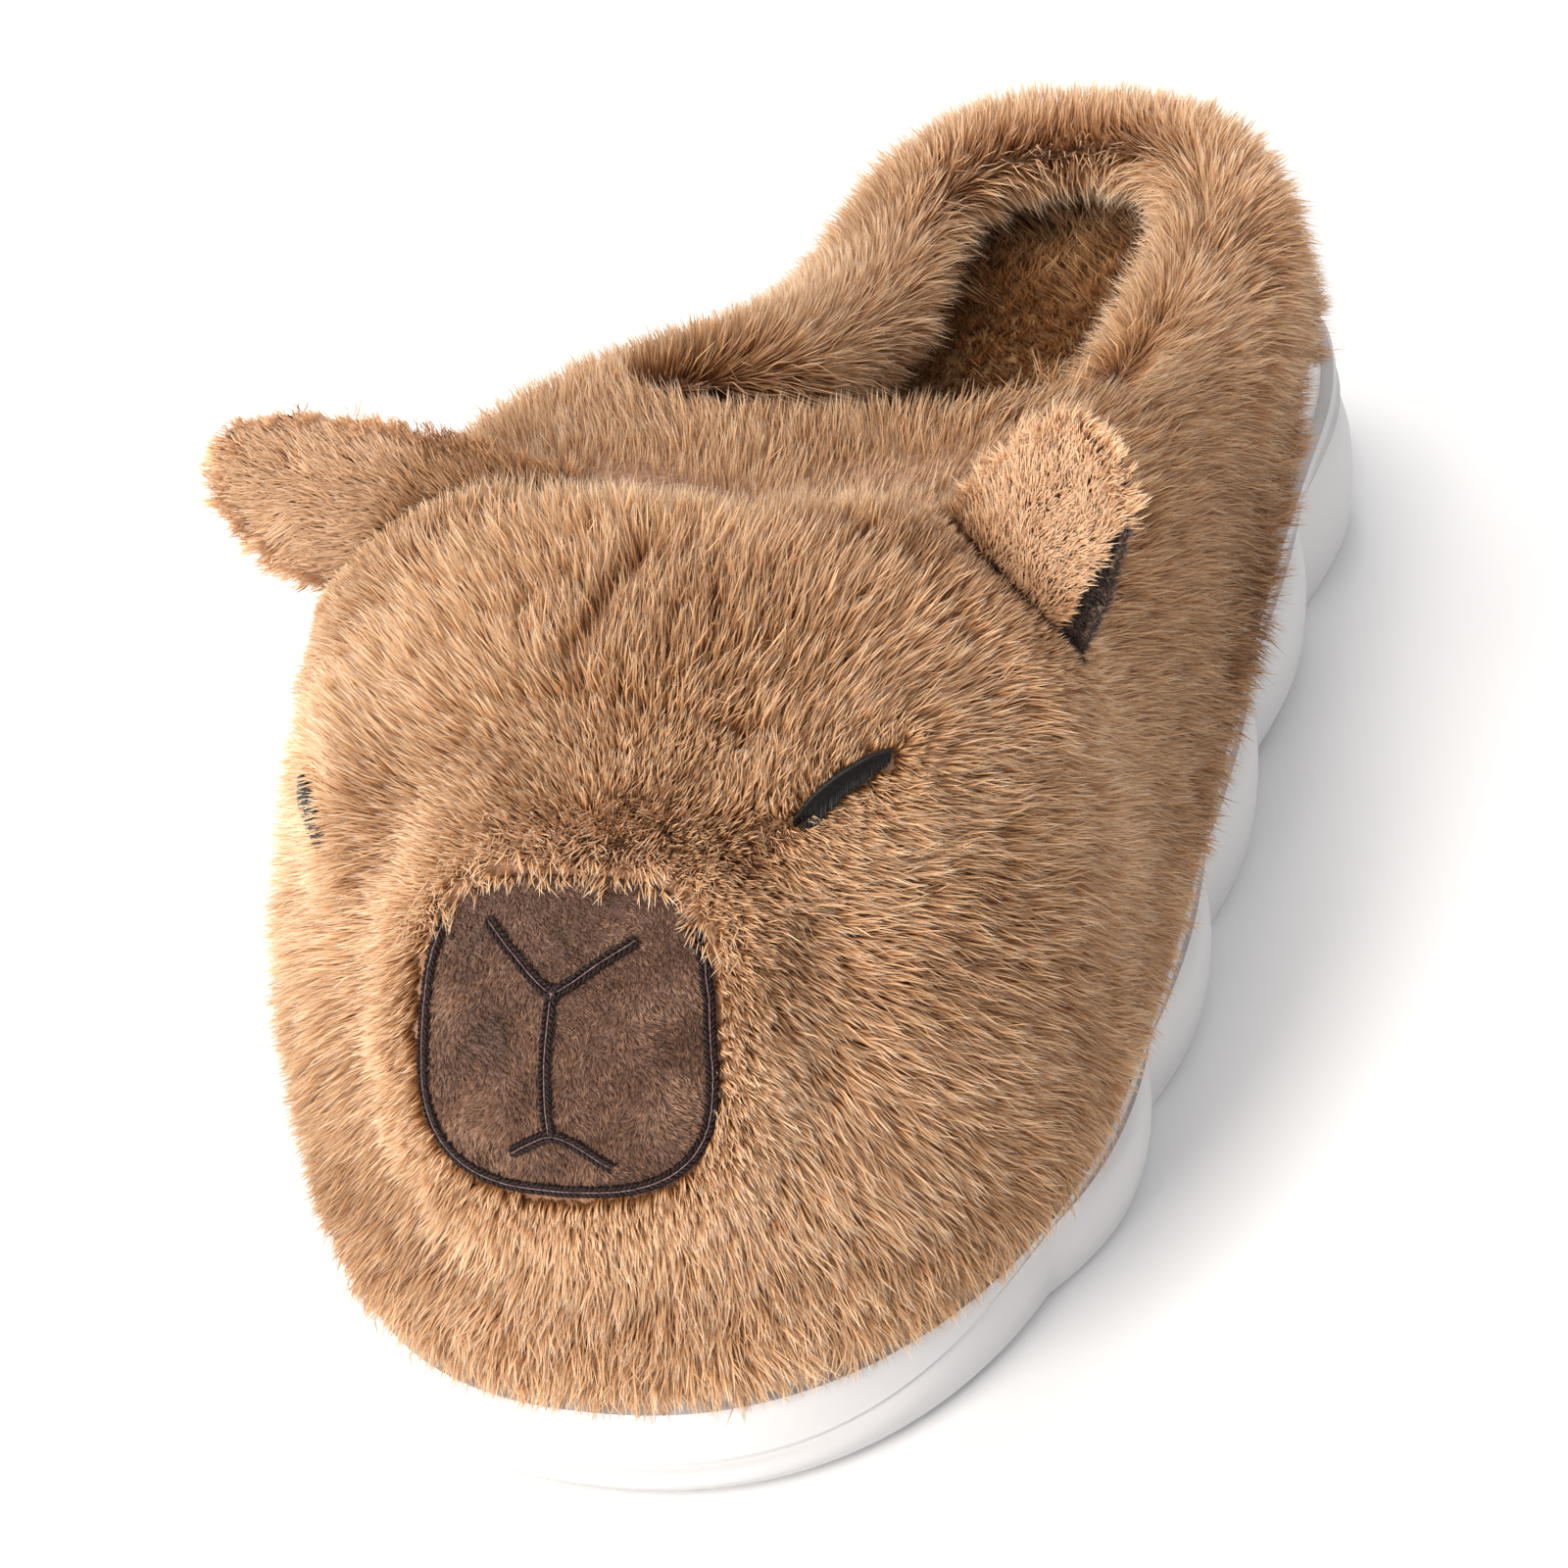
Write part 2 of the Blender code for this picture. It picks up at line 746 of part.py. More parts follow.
def eye_placer(eye):
    run = unit(np.array([eye.run_x, eye.run_y]))
    over = np.array([-run[1], run[0]])

    def place(plan, out):
        spots = place_on_head(eye) + plan[:, :1] * run + plan[:, 1:] * over
        return top_point(spots[:, 0], spots[:, 1], out)

    return place


def seat_nose(upper, velvet, fur):
    """The nose patch, and the recess that the upper holds it in."""
    pad("nose_patch", nose_place, nose_edge(0), nose_rings, nose_recess - seat_gap, -nose_dome, nose_dome, velvet)
    edge = nose_edge(seat_gap)
    cut(upper, pad("nose_recess", nose_place, edge, nose_recess_rings, nose_recess, recess_rise, 0, fur))


def seat_eye(eye, upper, thread, fur):
    """One closed eye, and the trough that the upper holds it in."""
    place = eye_placer(eye)
    pad(eye.name, place, eye_edge(0), eye_rings, eye_recess - seat_gap, 0, eye_dome, thread)
    edge = eye_edge(seat_gap)
    cut(upper, pad(eye.name + "_recess", place, edge, eye_recess_rings, eye_recess, recess_rise, 0, fur))


# Ears

def onto_form(points, direction):
    """How far each point moves along a direction to reach the form."""
    near = np.full(len(points), -ear_length)
    far = np.full(len(points), ear_length)
    for _ in range(solve_steps):
        middle = (near + far) / 2
        spots = points + direction * middle[:, None]
        above = spots[:, 2] >= form_height(spots[:, 0], spots[:, 1])
        far = np.where(above, middle, far)
        near = np.where(above, near, middle)
    return far


def ear_body(name, ear, grow, sink, material):
    """A cupped, round-tipped ear, grown all round and sunk into the head."""
    pointing = unit(np.array([ear.point_x, ear.point_y, ear.point_z]))
    running = np.array([ear.run_x, ear.run_y, ear.run_z])
    running = unit(running - pointing * np.dot(running, pointing))
    facing = unit(np.cross(pointing, running)) * -math.copysign(1, ear.across)
    middle = place_on_head(ear)
    root = np.array([*middle, float(form_height(*middle))])
    turn = np.linspace(0, 2 * math.pi, ear_columns, endpoint=False)
    across = np.cos(turn)
    through = np.sin(turn)

    def section(share, along):
        width = ear_half_width * (1 - share**ear_tip_power) ** (1 / ear_tip_power) + grow
        thick = ear_half_thickness * (1 - ear_thinning * share) + grow
        cup = ear_cup * (1 - ear_cup_fade * share) * across**2
        plan = np.outer(across * width, running) + np.outer(through * thick - cup, facing)
        return root + plan + np.outer(along, pointing)

    start = onto_form(section(0.0, np.zeros(ear_columns)), pointing) - sink
    rows = []
    for step in range(ear_rows):
        share = math.sin(math.pi / 2 * step / ear_rows)
        rows.append(section(share, start * (1 - share) + ear_length * share))
    tip = root + pointing * (ear_length + grow)
    points = np.concatenate(rows + [[tip]])
    faces = stacked_faces(len(rows), ear_columns)
    faces += ladder(points, 0, ear_columns // 2, ear_columns, 0, False)
    last = (len(rows) - 1) * ear_columns
    for k in range(ear_columns):
        faces.append((last + k, last + (k + 1) % ear_columns, len(points) - 1))
    if ear.across > 0:
        faces = [face[::-1] for face in faces]
    return new_object(name, points, faces, material)


def main():
    for old in list(bpy.data.objects):
        bpy.data.objects.remove(old)
    fur = new_material("tan plush", (0.58, 0.34, 0.17), 0.95)
    foam = new_material("white moulded EVA", (0.86, 0.85, 0.83), 0.55)
    sock = new_material("tan plush sock", (0.50, 0.30, 0.15), 0.95)
    velvet = new_material("brown short velvet", (0.16, 0.09, 0.06), 0.85)
    thread = new_material("dark satin thread", (0.02, 0.015, 0.013), 0.45)
    build_sole(foam)
    upper = build_upper(fur)
    build_insole(sock)
    seat_nose(upper, velvet, fur)
    for eye in eyes:
        seat_eye(eye, upper, thread, fur)
    for ear in ears:
        ear_body(ear.name, ear, 0, ear_sink, fur)
        cut(upper, ear_body(ear.name + "_socket", ear, seat_gap, ear_sink + seat_gap, fur))


main()
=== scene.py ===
import math

import bpy
import numpy as np
from mathutils import Matrix, Vector
from mathutils.bvhtree import BVHTree
from mathutils.kdtree import KDTree


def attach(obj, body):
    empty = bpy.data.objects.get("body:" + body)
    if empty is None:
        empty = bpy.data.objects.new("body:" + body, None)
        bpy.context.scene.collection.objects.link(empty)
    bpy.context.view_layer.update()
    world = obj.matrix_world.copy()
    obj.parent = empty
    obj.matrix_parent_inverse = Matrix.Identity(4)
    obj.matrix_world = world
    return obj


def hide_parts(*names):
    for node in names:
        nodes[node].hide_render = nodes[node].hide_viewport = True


# A plush animal slipper for the left foot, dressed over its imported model.
# Metres, +Z up, the toe towards -Y, the wearer's left, which is the outer side, towards +X.
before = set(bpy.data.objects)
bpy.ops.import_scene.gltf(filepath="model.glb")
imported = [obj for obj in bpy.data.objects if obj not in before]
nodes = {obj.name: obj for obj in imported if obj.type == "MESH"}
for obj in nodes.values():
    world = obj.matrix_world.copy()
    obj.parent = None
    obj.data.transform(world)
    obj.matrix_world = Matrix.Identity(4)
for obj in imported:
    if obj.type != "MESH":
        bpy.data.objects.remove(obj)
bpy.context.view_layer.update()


def mm(value):
    return value / 1000


def mmPoint(point):
    return np.array(point) / 1000


def fromHex(code):
    # sRGB hex to the linear colour that a shader takes
    parts = [int(code[k:k + 2], 16) / 255 for k in (1, 3, 5)]
    return tuple(c / 12.92 if c <= 0.04045 else ((c + 0.055) / 1.055) ** 2.4 for c in parts) + (1.0,)


def unit(vectors):
    return vectors / np.maximum(np.linalg.norm(vectors, axis=-1, keepdims=True), 1e-12)


def dots(first, second):
    return np.sum(first * second, axis=-1, keepdims=True)


def eased(value, start, end):
    t = np.clip((value - start) / (end - start), 0, 1)
    return t * t * (3 - 2 * t)


def fading(distance, reach):
    return np.exp(-(distance / reach) ** 2)


def nearTo(points, place, reach):
    return fading(np.linalg.norm(points - place, axis=1), reach)


def waves(points, size, seed):
    # a smooth random field of about -1 to 1 whose swells have the given size
    rng = np.random.default_rng(seed)
    total = np.zeros(len(points))
    for _ in range(14):
        heading = unit(rng.normal(size=3)) * 2 * math.pi / (size * rng.uniform(0.7, 1.5))
        total += np.sin(points @ heading + rng.uniform(0, 2 * math.pi))
    return total / math.sqrt(14)


def fromPath(points, path):
    # each point's distance from a broken line, and the way that leads away from it
    best = np.full(len(points), 9.0)
    away = np.zeros_like(points)
    for start, end in zip(path[:-1], path[1:]):
        run = end - start
        share = np.clip((points - start) @ run / (run @ run), 0, 1)
        gap = points - (start + share[:, None] * run)
        distance = np.linalg.norm(gap, axis=1)
        nearer = distance < best
        best[nearer] = distance[nearer]
        away[nearer] = gap[nearer]
    return best, unit(away)


def placed(name, data):
    made = bpy.data.objects.new(name, data)
    bpy.context.scene.collection.objects.link(made)
    return made


def modified(piece):
    # the mesh that a piece's modifiers make of it
    depsgraph = bpy.context.evaluated_depsgraph_get()
    return bpy.data.meshes.new_from_object(piece.evaluated_get(depsgraph))


# Nodes

def addNode(tree, kind, settings={}, values={}, links={}):
    node = tree.nodes.new(kind)
    for name, value in settings.items():
        setattr(node, name, value)
    for name, value in values.items():
        node.inputs[name].default_value = value
    for name, source in links.items():
        tree.links.new(source, node.inputs[name])
    return node


def fillRamp(node, stops):
    ramp = node.color_ramp
    while len(ramp.elements) < len(stops):
        ramp.elements.new(0.5)
    for element, (place, colour) in zip(ramp.elements, stops):
        element.position = place
        element.color = fromHex(colour)


def newMaterial(name, **values):
    # a material with its Principled shader's own sockets set
    made = bpy.data.materials.new(name)
    made.use_nodes = True
    tree = made.node_tree
    shader = tree.nodes["Principled BSDF"]
    for socket, value in values.items():
        shader.inputs[socket.replace("_", " ")].default_value = value
    return made, tree, shader


def pileMaterial(name, look):
    # Each strand carries its own shade across its map, and root to tip up it, so one ramp tints the
    # strands and the other one darkens them towards the root, where light can't reach.
    made, tree, shader = newMaterial(
        name, Roughness=look["roughness"], Sheen_Weight=look["sheen"], Sheen_Roughness=0.5,
        Specular_IOR_Level=look["gloss"],
    )
    spot = addNode(tree, "ShaderNodeUVMap", {"uv_map": "OFBake"})
    parts = addNode(tree, "ShaderNodeSeparateXYZ", links={"Vector": spot.outputs["UV"]})
    strand = addNode(tree, "ShaderNodeValToRGB", links={"Fac": parts.outputs["X"]})
    fillRamp(strand, look["strands"])
    depth = addNode(tree, "ShaderNodeValToRGB", links={"Fac": parts.outputs["Y"]})
    fillRamp(depth, look["depth"])
    shaded = addNode(
        tree, "ShaderNodeMix", {"data_type": "RGBA", "blend_type": "MULTIPLY"}, {"Factor": 1.0},
        {"A": strand.outputs["Color"], "B": depth.outputs["Color"]},
    )
    tree.links.new(shaded.outputs["Result"], shader.inputs["Base Color"])
    return made


def mottled(tree, shader, size, detail, stops):
    # a colour that shifts with noise of the given size, which is returned for a bump
    place = addNode(tree, "ShaderNodeTexCoord")
    noise = addNode(
        tree, "ShaderNodeTexNoise", values={"Scale": 1 / size, "Detail": detail},
        links={"Vector": place.outputs["Object"]},
    )
    colour = addNode(tree, "ShaderNodeValToRGB", links={"Fac": noise.outputs["Fac"]})
    fillRamp(colour, stops)
    tree.links.new(colour.outputs["Color"], shader.inputs["Base Color"])
    return noise


def grained(tree, shader, layers):
    # bumps one over another, each with its noise's size, detail and roughness, its strength and its depth
    place = addNode(tree, "ShaderNodeTexCoord")
    below = {}
    for size, detail, rough, strength, depth in layers:
        noise = addNode(
            tree, "ShaderNodeTexNoise", values={"Scale": 1 / size, "Detail": detail, "Roughness": rough},
            links={"Vector": place.outputs["Object"]},
        )
        bump = addNode(
            tree, "ShaderNodeBump", values={"Strength": strength, "Distance": depth},
            links={"Height": noise.outputs["Fac"]} | below,
        )
        below = {"Normal": bump.outputs["Normal"]}
    tree.links.new(bump.outputs["Normal"], shader.inputs["Normal"])


# Acrylic faux fur, sheared and brushed: matt strands, pale at the tip and dark at the root, partly in the
# fibre's own colour and partly as painted shade
furLook = {
    "strands": [(0.0, "#866B56"), (0.5, "#DACBBC"), (1.0, "#FFFFFF")],
    "depth": [(0.0, "#583617"), (0.3, "#A06C3E"), (0.6, "#D7A678"), (0.82, "#F1CFA7"), (1.0, "#FDF5EA")],
    "roughness": 0.62,
    "sheen": 0.05,
    "gloss": 0.18,
}

# The ears' plush is the same fibre, sheared shorter, in paler ramps than the coat's, with less painted shade
# at the root
earLook = furLook | {
    "strands": [(0.0, "#94745A"), (0.5, "#DCC6AE"), (1.0, "#FFF9F2")],
    "depth": [(0.0, "#B08052"), (0.4, "#DFB384"), (0.8, "#FADCBA"), (1.0, "#FFF8EE")],
}

# Boa fleece of the sock: the same fibre in a shorter, trodden pile, so it looks browner and flatter
sockLook = {
    "strands": [(0.0, "#8C6238"), (0.5, "#CC9B66"), (1.0, "#FFDCB0")],
    "depth": [(0.0, "#A07C56"), (0.5, "#E8DECE"), (1.0, "#FFFFFF")],
    "roughness": 0.7,
    "sheen": 0.05,
    "gloss": 0.2,
}

# Polyester velvet, cut pile under a millimetre: dark brown, paler where its nap catches the light
velvetLook = {
    "strands": [(0.0, "#553A29"), (0.5, "#8C6750"), (1.0, "#BF9A80")],
    "depth": [(0.0, "#6A5A50"), (0.5, "#E0D8D2"), (1.0, "#FFFFFF")],
    "roughness": 0.6,
    "sheen": 0.12,
    "gloss": 0.3,
}

# Short velvet on the backs of the ears: the nose's, dyed grey brown
earBackLook = velvetLook | {"strands": [(0.0, "#3A2E2B"), (0.5, "#5E4C47"), (1.0, "#8A736B")]}


def knitMaterial(name, dark, light):
    # Knitted backing under a pile: matt, and dark as painted shade, so the gaps between tufts read as depth
    made, tree, shader = newMaterial(name, Roughness=0.95)
    clumps = mottled(tree, shader, mm(1.6), 4.0, [(0.3, dark), (0.7, light)])
    bump = addNode(
        tree, "ShaderNodeBump", values={"Strength": 0.6, "Distance": mm(0.6)},
        links={"Height": clumps.outputs["Fac"]},
    )
    tree.links.new(bump.outputs["Normal"], shader.inputs["Normal"])
    return made


def foamMaterial():
    # EVA foam, injection moulded: white, satin matt, with the mould's very fine grain and a soft skin
    made, tree, shader = newMaterial(
        "moulded EVA foam", Base_Color=fromHex("#D0CECE"), Roughness=0.5, Specular_IOR_Level=0.4,
    )
    grained(tree, shader, [(mm(0.45), 2.0, 0.6, 0.25, mm(0.05)), (mm(14), 1.0, 0.5, 0.3, mm(0.35))])
    return made


def threadMaterial(name, dark, light, roughness):
    # Rayon embroidery thread, twisted and silky: the paler spots in its colour are a painted gleam
    made, tree, shader = newMaterial(name, Roughness=roughness, Specular_IOR_Level=0.2)
    mottled(tree, shader, mm(0.5), 2.0, [(0.3, dark), (0.75, light)])
    return made


# Camera, light and floor

view = {
    "azimuth": 22.6,  # degrees round from the toe towards the wearer's left
    "elevation": 33.8,
    "roll": -9.2,
    "distance": mm(915),
    "target": (mm(-3), mm(-33), mm(38)),
    "lens": 156.08,
    "sensor": 36.0,
}


def setCamera():
    turn, rise, roll = (math.radians(view[key]) for key in ("azimuth", "elevation", "roll"))
    back = Vector((math.sin(turn) * math.cos(rise), -math.cos(turn) * math.cos(rise), math.sin(rise)))
    right = Vector((math.cos(turn), math.sin(turn), 0))
    up = back.cross(right)
    across = right * math.cos(roll) + up * math.sin(roll)
    upright = up * math.cos(roll) - right * math.sin(roll)
    lens = bpy.data.cameras.new("camera")
    lens.lens = view["lens"]
    lens.sensor_width = view["sensor"]
    lens.clip_start = 0.05
    lens.clip_end = 20
    camera = placed("camera", lens)
    camera.matrix_world = Matrix((across, upright, back)).transposed().to_4x4()
    camera.location = Vector(view["target"]) + back * view["distance"]
    bpy.context.scene.camera = camera


# Soft boxes: place, size in metres, watts and colour. The key stands low before the toe, on its medial side.
lamps = {
    "key": ((-0.48, -1.35, 0.80), 0.8, 30.0, "#FFFAF4"),
    "fill": ((1.15, -0.75, 0.75), 1.2, 0.8, "#FFFAF6"),
    "top": ((-0.40, 0.45, 1.45), 0.9, 15.0, "#FFFAF4"),
}
skyLight = {"colour": "#F7F8FB", "strength": 0.66}


def setLights():
    for name, (place, size, watts, colour) in lamps.items():
        light = bpy.data.lights.new(name, "AREA")
        light.size = size
        light.energy = watts
        light.color = fromHex(colour)[:3]
        lamp = placed(name, light)
        lamp.location = place
        lamp.rotation_euler = (Vector((0, 0, 0.04)) - Vector(place)).to_track_quat("-Z", "Y").to_euler()
    world = bpy.data.worlds.new("studio")
    world.use_nodes = True
    background = world.node_tree.nodes["Background"]
    background.inputs["Color"].default_value = fromHex(skyLight["colour"])
    background.inputs["Strength"].default_value = skyLight["strength"]
    bpy.context.scene.world = world
    bpy.context.scene.view_settings.view_transform = "Standard"


def setFloor():
    # Paper sweep: flat, matt and nearly white
    made, tree, shader = newMaterial("white paper sweep", Base_Color=fromHex("#F6F6F6"), Roughness=0.9)
    grained(tree, shader, [(mm(2), 2.0, 0.5, 0.05, mm(0.1))])
    reach = 4.0
    corners = [(x * reach, y * reach, 0) for x, y in ((-1, -1), (1, -1), (1, 1), (-1, 1))]
    mesh = bpy.data.meshes.new("floor")
    mesh.from_pydata(corners, [], [(0, 1, 2, 3)])
    mesh.materials.append(made)
    floor = placed("floor", mesh)


# Meshes

def newPiece(name, points, faces, material):
    # points as rows of x, y and z, and faces as lists that all have one length
    points = np.asarray(points, float)
    faces = np.asarray(faces, np.int32)
    mesh = bpy.data.meshes.new(name)
    mesh.vertices.add(len(points))
    mesh.vertices.foreach_set("co", points.ravel())
    mesh.loops.add(faces.size)
    mesh.loops.foreach_set("vertex_index", faces.ravel())
    mesh.polygons.add(len(faces))
    mesh.polygons.foreach_set("loop_start", np.arange(0, faces.size, faces.shape[1]))
    mesh.polygons.foreach_set("loop_total", np.full(len(faces), faces.shape[1]))
    mesh.update()
    mesh.materials.append(material)
    mesh.shade_smooth()
    return placed(name, mesh)


def rowsOf(items, field, kind=float):
    # a field of three numbers an item, as an array with a row for each
    values = np.empty(len(items) * 3, kind)
    items.foreach_get(field, values)
    return values.reshape(-1, 3)


class Skin:
    # a piece's mesh as arrays, for placing things on it
    def __init__(self, piece):
        mesh = piece.data
        mesh.calc_loop_triangles()
        self.piece = piece
        self.points = rowsOf(mesh.vertices, "co")
        self.normals = rowsOf(mesh.vertices, "normal")
        self.tris = rowsOf(mesh.loop_triangles, "vertices", np.int32)

    def moveTo(self, points):
        self.piece.data.vertices.foreach_set("co", points.ravel())
        self.piece.data.update()
        self.__init__(self.piece)

    def scatter(self, count, weights, rng):
        # roots spread by area, weights being one number for each triangle
        corners = self.points[self.tris]
        area = np.linalg.norm(np.cross(corners[:, 1] - corners[:, 0], corners[:, 2] - corners[:, 0]), axis=1)
        weight = area * weights
        chosen = rng.choice(len(weight), count, p=weight / weight.sum())
        first, second = rng.random((2, count, 1))
        over = first + second > 1
        first = np.where(over, 1 - first, first)
        second = np.where(over, 1 - second, second)
        shares = np.stack([1 - first - second, first, second], axis=1)
        point = (corners[chosen] * shares).sum(axis=1)
        normal = unit((self.normals[self.tris[chosen]] * shares).sum(axis=1))
        return point, normal

    def centres(self):
        return self.points[self.tris].mean(axis=1), unit(self.normals[self.tris].mean(axis=1))

    def tree(self):
        return BVHTree.FromPolygons(self.points.tolist(), self.tris.tolist())


def evened(skin, values, rounds):
    # values at a skin's points, averaged with those of the points next to them
    pairs = np.vstack([skin.tris[:, [0, 1]], skin.tris[:, [1, 2]], skin.tris[:, [2, 0]]])
    pairs = np.vstack([pairs, pairs[:, ::-1]])
    count = np.maximum(np.bincount(pairs[:, 0], minlength=len(values)), 1)
    columns = values.reshape(len(values), -1).copy()
    for _ in range(rounds):
        for column in range(columns.shape[1]):
            near = np.bincount(pairs[:, 0], columns[pairs[:, 1], column], len(values)) / count
            columns[:, column] = (columns[:, column] + near) / 2
    return columns.reshape(values.shape)


def smoothCopy(node, name, voxel, rounds, material):
    # the node's own closed form, evenly meshed, with its tufts and facets smoothed away
    piece = nodes[node].copy()
    piece.data = nodes[node].data.copy()
    bpy.context.scene.collection.objects.link(piece)
    remesh = piece.modifiers.new("remesh", "REMESH")
    remesh.mode = "VOXEL"
    remesh.voxel_size = voxel
    soften = piece.modifiers.new("soften", "SMOOTH")
    soften.factor = 0.5
    soften.iterations = rounds
    mesh = modified(piece)
    bpy.data.objects.remove(piece)
    mesh.name = name
    mesh.materials.clear()
    mesh.materials.append(material)
    mesh.shade_smooth()
    made = placed(name, mesh)
    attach(made, "root")
    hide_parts(node)
    return Skin(made)


# Pile

def tangent(vectors, normals):
    return unit(vectors - normals * dots(vectors, normals))


def turned(vectors, normals, angles):
    # vectors in the surface, turned round its normals
    angles = angles[:, None]
    return vectors * np.cos(angles) + np.cross(normals, vectors) * np.sin(angles)


def growPile(name, roots, normals, flow, style, coat, material, rng):
    # strands gathered at their tips into tufts: bent kites, or straight blades where the style says so
    count = len(roots)
    uneven = 1 + style["uneven"] * rng.uniform(-1, 1, count)
    size = (style["length"] * coat.get("length", 1.0) * uneven)[:, None]
    flow = turned(flow, normals, rng.normal(0, 1, count) * style["mess"] * coat.get("mess", 1.0))
    lower = np.broadcast_to(coat.get("lower", 0.0), count)[:, None]
    early = style["lean"][0] + lower * 0.5 + rng.normal(0, 0.12, (count, 1))
    late = style["lean"][1] + lower + rng.normal(0, 0.16, (count, 1))
    bend = style.get("bend", 0.45)  # where up the strand it bends and is widest
    middle = roots + (normals * np.cos(early) + flow * np.sin(early)) * size * bend
    tip = middle + (normals * np.cos(late) + flow * np.sin(late)) * size * (1 - bend)

    seeds = np.arange(0, count, style["tuft"])
    tree = KDTree(len(seeds))
    for k, seed in enumerate(seeds):
        tree.insert(roots[seed], k)
    tree.balance()
    owner = seeds[np.array([tree.find(root)[1] for root in roots])]
    sway = turned(flow, normals, rng.normal(0, 0.6, count))[owner] * size * 0.14
    gather = style["gather"] * np.broadcast_to(coat.get("gather", 1.0), count)[:, None]
    gather = gather * rng.uniform(0.4, 1.0, (count, 1))
    along = tip[owner] - roots[owner] + sway
    tip = tip + (roots[owner] + along - tip) * gather
    middle = middle + (roots[owner] + along * bend - middle) * gather * 0.35

    run = unit(tip - roots)
    side = unit(np.cross(run, normals))
    roll = rng.normal(0, 0.45, (count, 1))
    side = side * np.cos(roll) + np.cross(run, side) * np.sin(roll)
    half = side * style["width"] / 2 * rng.uniform(0.65, 1.35, (count, 1))
    if style.get("straight"):
        points = np.stack([roots - half, roots + half, tip], axis=1)
        corners = np.array([[0, 1, 2]])
        heights = np.array([0.0, 0.0, 1.0])
    else:
        points = np.stack([roots, middle - half, middle + half, tip], axis=1)
        corners = np.array([[0, 1, 2], [1, 3, 2]])
        heights = np.array([0.0, bend, bend, 1.0])
    faces = np.arange(count)[:, None, None] * points.shape[1] + corners
    piece = newPiece(name, points.reshape(-1, 3), faces.reshape(-1, 3), material)

    tuftTint = style["tuftTint"] * rng.normal(0, 1, count)[owner]
    across = coat["shade"] + style["tint"] * rng.normal(0, 1, count) + tuftTint
    spots = np.empty((count, corners.size, 2))
    spots[:, :, 0] = np.clip(across, 0.01, 0.99)[:, None]
    spots[:, :, 1] = np.clip(heights[corners.ravel()], 0.01, 0.99)
    layer = piece.data.uv_layers.new(name="OFBake")
    layer.data.foreach_set("uv", spots.ravel())
    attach(piece, "root")
    print("pile", name, count, "strands")
    return piece


setCamera()
setLights()
setFloor()

# Places on the shoe that the coat is combed round

bridge = mmPoint((3, -112, 91))  # between the eyes and above the nose, where the nap starts
noseMiddle = mmPoint((2.5, 0, 66.2))
noseHalf = mmPoint((19.5, 0, 18.5))
nosePower = 3.2  # of its rounded square outline
cheekBulge = (mmPoint((-50, -104, 42)), mm(28))  # place and reach
throatY = mm(-13)
eyeLines = [
    (mmPoint((27.6, -107.0, 86)), mmPoint((37.3, -90.0, 86))),
    (mmPoint((-35.3, -107.0, 82)), mmPoint((-45.0, -90.0, 82))),
]
earRoots = [
    (mmPoint((31, -47, 93)), mmPoint((49, -57, 80))),
    (mmPoint((-35, -42, 95)), mmPoint((-49, -62, 83))),
]

# Creases set along the top: their lines in mm of plan, how deep and wide each trough is in mm, how
# much darker it is and how strongly the nap parts along it
# Each crease's darkening is painted shade in its trough.
creases = [
    {"line": [(-1.5, -70), (-3.7, -80), (-4.2, -90)], "depth": 2.6, "reach": 3.0, "dark": 0.40, "part": 0.9},
    {"line": [(-37, -45), (-18, -35), (-3, -44), (13, -58), (26, -58), (33, -55)],
     "depth": 1.4, "reach": 6.0, "dark": 0.30, "part": 0.0},
    {"line": [(8, -34), (20, -28), (32, -20)], "depth": 1.4, "reach": 5.0, "dark": 0.08, "part": 0.0},
]

# How the coat differs from place to place: where and how far in mm, then what is added to each quality
coatQualities = ("shade", "length", "mess", "gather")
# The shade column is partly the coat's own tone and partly painted light and shade, marked row by row.
coatSpots = [
    ((10, -100, 95), 20, (-0.14, -0.22, 0.5, 0.3)),
    # paler on the medial side of the head: partly its own tone and partly painted light
    ((-35, -100, 75), 30, (0.20, 0.0, -0.3, -0.5)),
    ((-22, -122, 62), 22, (0.14, 0.0, -0.2, -0.4)),
    # paler round the nose: partly its own tone and partly painted light, which also lifts the shade at the
    # bridge
    ((2, -115, 88), 9, (0.24, 0.0, 0.3, -0.2)),
    ((25, -124, 62), 13, (0.22, -0.1, 0.0, 0.0)),
    ((6, -136, 38), 28, (0.18, 0.0, 0.0, -0.2)),
    ((34, -104, 78), 8, (0.14, 0.0, 0.0, 0.0)),
    ((23, -112, 83), 4, (-0.2, -0.2, 0.0, 0.0)),
    # darker at the lateral ear's root: painted shade where the ear meets the head
    ((43, -50, 84), 6, (-0.25, -0.1, 0.0, 0.2)),
    # painted shade down the lateral flank
    ((50, 10, 50), 45, (-0.26, 0.0, 0.0, 0.1)),
    # painted light on the heel
    ((0, 125, 60), 50, (0.40, 0.0, 0.0, 0.0)),
    # painted shade low on the medial front
    ((-42, -118, 38), 22, (-0.36, 0.0, 0.0, 0.0)),
    # painted shade over the vamp
    ((0, -25, 85), 35, (-0.08, 0.0, 0.0, 0.0)),
    # painted light on the lower lateral cheek
    ((38, -122, 42), 20, (0.20, 0.0, 0.0, 0.0)),
    # darker on the lateral cheek: partly its own tone and partly painted shade
    ((40, -108, 58), 24, (-0.17, 0.0, 0.1, 0.4)),
]


def fromCrease(points, crease):
    line = [mmPoint((*spot, 0)) for spot in crease["line"]]
    return fromPath(points * [1, 1, 0], line)


